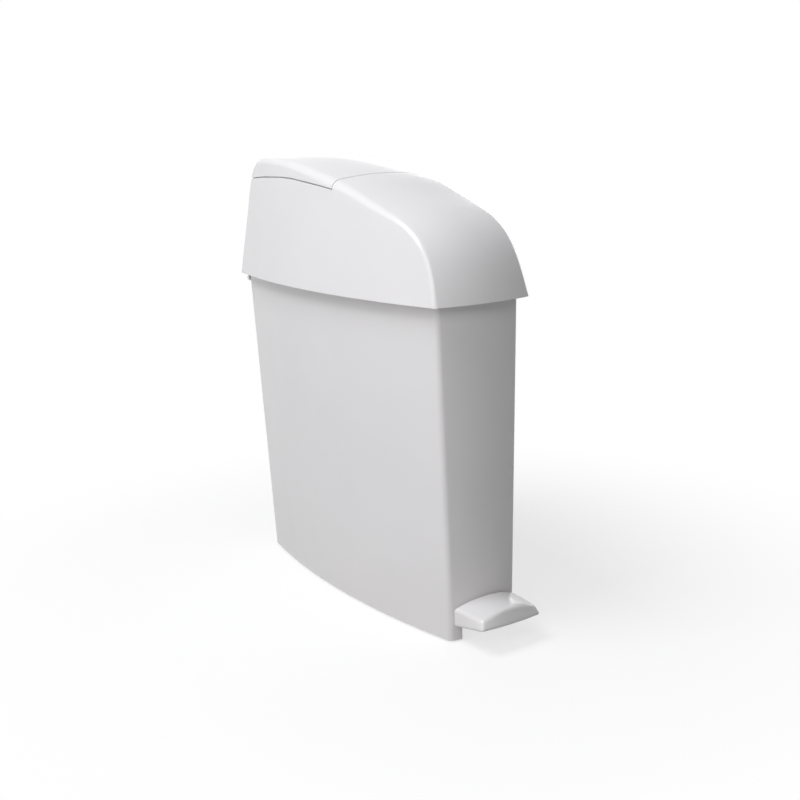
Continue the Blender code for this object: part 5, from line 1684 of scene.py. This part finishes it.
@dataclass
class Studio:
    """Pale floor, white surroundings, soft lamps and the camera at the photograph's angle."""

    floor_half: float = 6.0
    floor_color: Color = (0.42, 0.42, 0.42, 1.0)
    shadow_share: float = 0.30
    shadow_reach: tuple[float, float] = (0.25, 0.75)
    world_strength: float = 0.06
    eye: tuple[float, float, float] = (-0.78754, -1.26122, 0.58314)
    right: tuple[float, float, float] = (0.83273, -0.55260, -0.03447)
    down: tuple[float, float, float] = (-0.15159, -0.16766, -0.97412)
    lens: float = 54.524
    shift: Point = (-0.00433, 0.00023)
    lamps: tuple[SoftLamp, ...] = (
        SoftLamp("key_lamp", (-1.12, 0.10, 2.40), (1.2, 1.2), 40.0, color=(0.965, 0.975, 1.0)),
        SoftLamp("front_lamp", (-1.39, -1.39, 1.66), (1.2, 1.2), 15.0),
        SoftLamp("low_lamp", (-2.22, -0.81, 0.60), (1.2, 1.0), 11.0, color=(1.0, 0.985, 0.965)),
        SoftLamp("rear_lamp", (1.30, 2.10, 0.70), (1.4, 0.8), 9.0),
        SoftLamp("side_lamp", (2.40, 0.40, 0.60), (1.6, 0.8), 8.0),
    )

    def build(self) -> None:
        """Build everything round the bin."""
        self.lay_floor()
        self.paint_world()
        for lamp in self.lamps:
            lamp.hang()
        self.set_camera()
        bpy.context.scene.view_settings.view_transform = "Standard"

    def background_rays(self, bench: Bench) -> Signal:
        """1 for rays that see the background: from the camera, off gloss or through glass."""
        rays = bench.node("ShaderNodeLightPath", {}, {})
        seen = [Signal(bench, rays.outputs[name])
                for name in ("Is Camera Ray", "Is Glossy Ray", "Is Transmission Ray")]
        total = seen[0] + seen[1] + seen[2]
        return Signal(bench, bench.node("ShaderNodeMath", {"operation": "MINIMUM"},
                                        {0: total, 1: 1.0}).outputs[0])

    def lay_floor(self) -> None:
        """Lay the floor, which is white to the camera apart from the bin's soft shadow."""
        mesh = bmesh.new()
        bmesh.ops.create_grid(mesh, x_segments=1, y_segments=1, size=self.floor_half)
        floor = Solid(mesh).to_object("floor")
        bench = Bench("studio_floor")
        apart = bench.node("ShaderNodeVectorMath", {"operation": "LENGTH"}, {0: bench.place})
        far = bench.rise(Signal(bench, apart.outputs["Value"]), *self.shadow_reach)
        share = self.background_rays(bench) * (1 - self.shadow_share * (1 - far))
        glow = bench.node("ShaderNodeEmission", {}, {"Color": (1, 1, 1, 1), "Strength": 1.0})
        tone = bench.blend(self.background_rays(bench), self.floor_color, (1.0, 1.0, 1.0, 1.0))
        bench.finish(Base_Color=tone, Roughness=0.9)
        mixed = bench.node("ShaderNodeMixShader", {}, {0: share, 1: bench.shader.outputs[0],
                                                       2: glow.outputs[0]})
        bench.tree.links.new(mixed.outputs[0], bench.tree.nodes["Material Output"].inputs[0])
        floor.data.materials.append(bench.material)

    def paint_world(self) -> None:
        """Light the surroundings dimly, and show them white to the camera."""
        world = bpy.data.worlds.new("studio")
        bpy.context.scene.world = world
        world.use_nodes = True
        tree = world.node_tree
        rays = tree.nodes.new("ShaderNodeLightPath")
        most = rays.outputs["Is Camera Ray"]
        for name in ("Is Glossy Ray", "Is Transmission Ray"):
            step = tree.nodes.new("ShaderNodeMath")
            step.operation = "MAXIMUM"
            tree.links.new(most, step.inputs[0])
            tree.links.new(rays.outputs[name], step.inputs[1])
            most = step.outputs[0]
        level = tree.nodes.new("ShaderNodeMapRange")
        tree.links.new(most, level.inputs[0])
        level.inputs[3].default_value = self.world_strength
        level.inputs[4].default_value = 1.0
        back = tree.nodes["Background"]
        back.inputs["Color"].default_value = (1.0, 1.0, 1.0, 1.0)
        tree.links.new(level.outputs[0], back.inputs["Strength"])

    def set_camera(self) -> None:
        """Place the camera."""
        camera = bpy.data.cameras.new("camera")
        camera.lens = self.lens
        camera.sensor_width = 36.0
        camera.shift_x, camera.shift_y = self.shift
        holder = bpy.data.objects.new("camera", camera)
        bpy.context.scene.collection.objects.link(holder)
        side = Vector(self.right).normalized()
        up = -Vector(self.down)
        up = (up - side * up.dot(side)).normalized()
        turn = Matrix((side, up, side.cross(up))).transposed()
        holder.matrix_world = Matrix.Translation(self.eye) @ turn.to_4x4()
        bpy.context.scene.camera = holder


def main() -> None:
    """Build the bin and its studio."""
    logging.basicConfig(level=logging.INFO, format="%(name)s %(message)s")
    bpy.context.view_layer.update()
    pivot, hinges = Pivot(), RearHinges()
    Body().build([*pivot.holes(), *hinges.holes()])
    for assembly in (Pedal(), pivot, LiftRod(), BagRing(), Hood(), Flap(), hinges, Studio()):
        assembly.build()
        LOG.info("built %s", type(assembly).__name__)


if __name__ == "__main__":
    main()
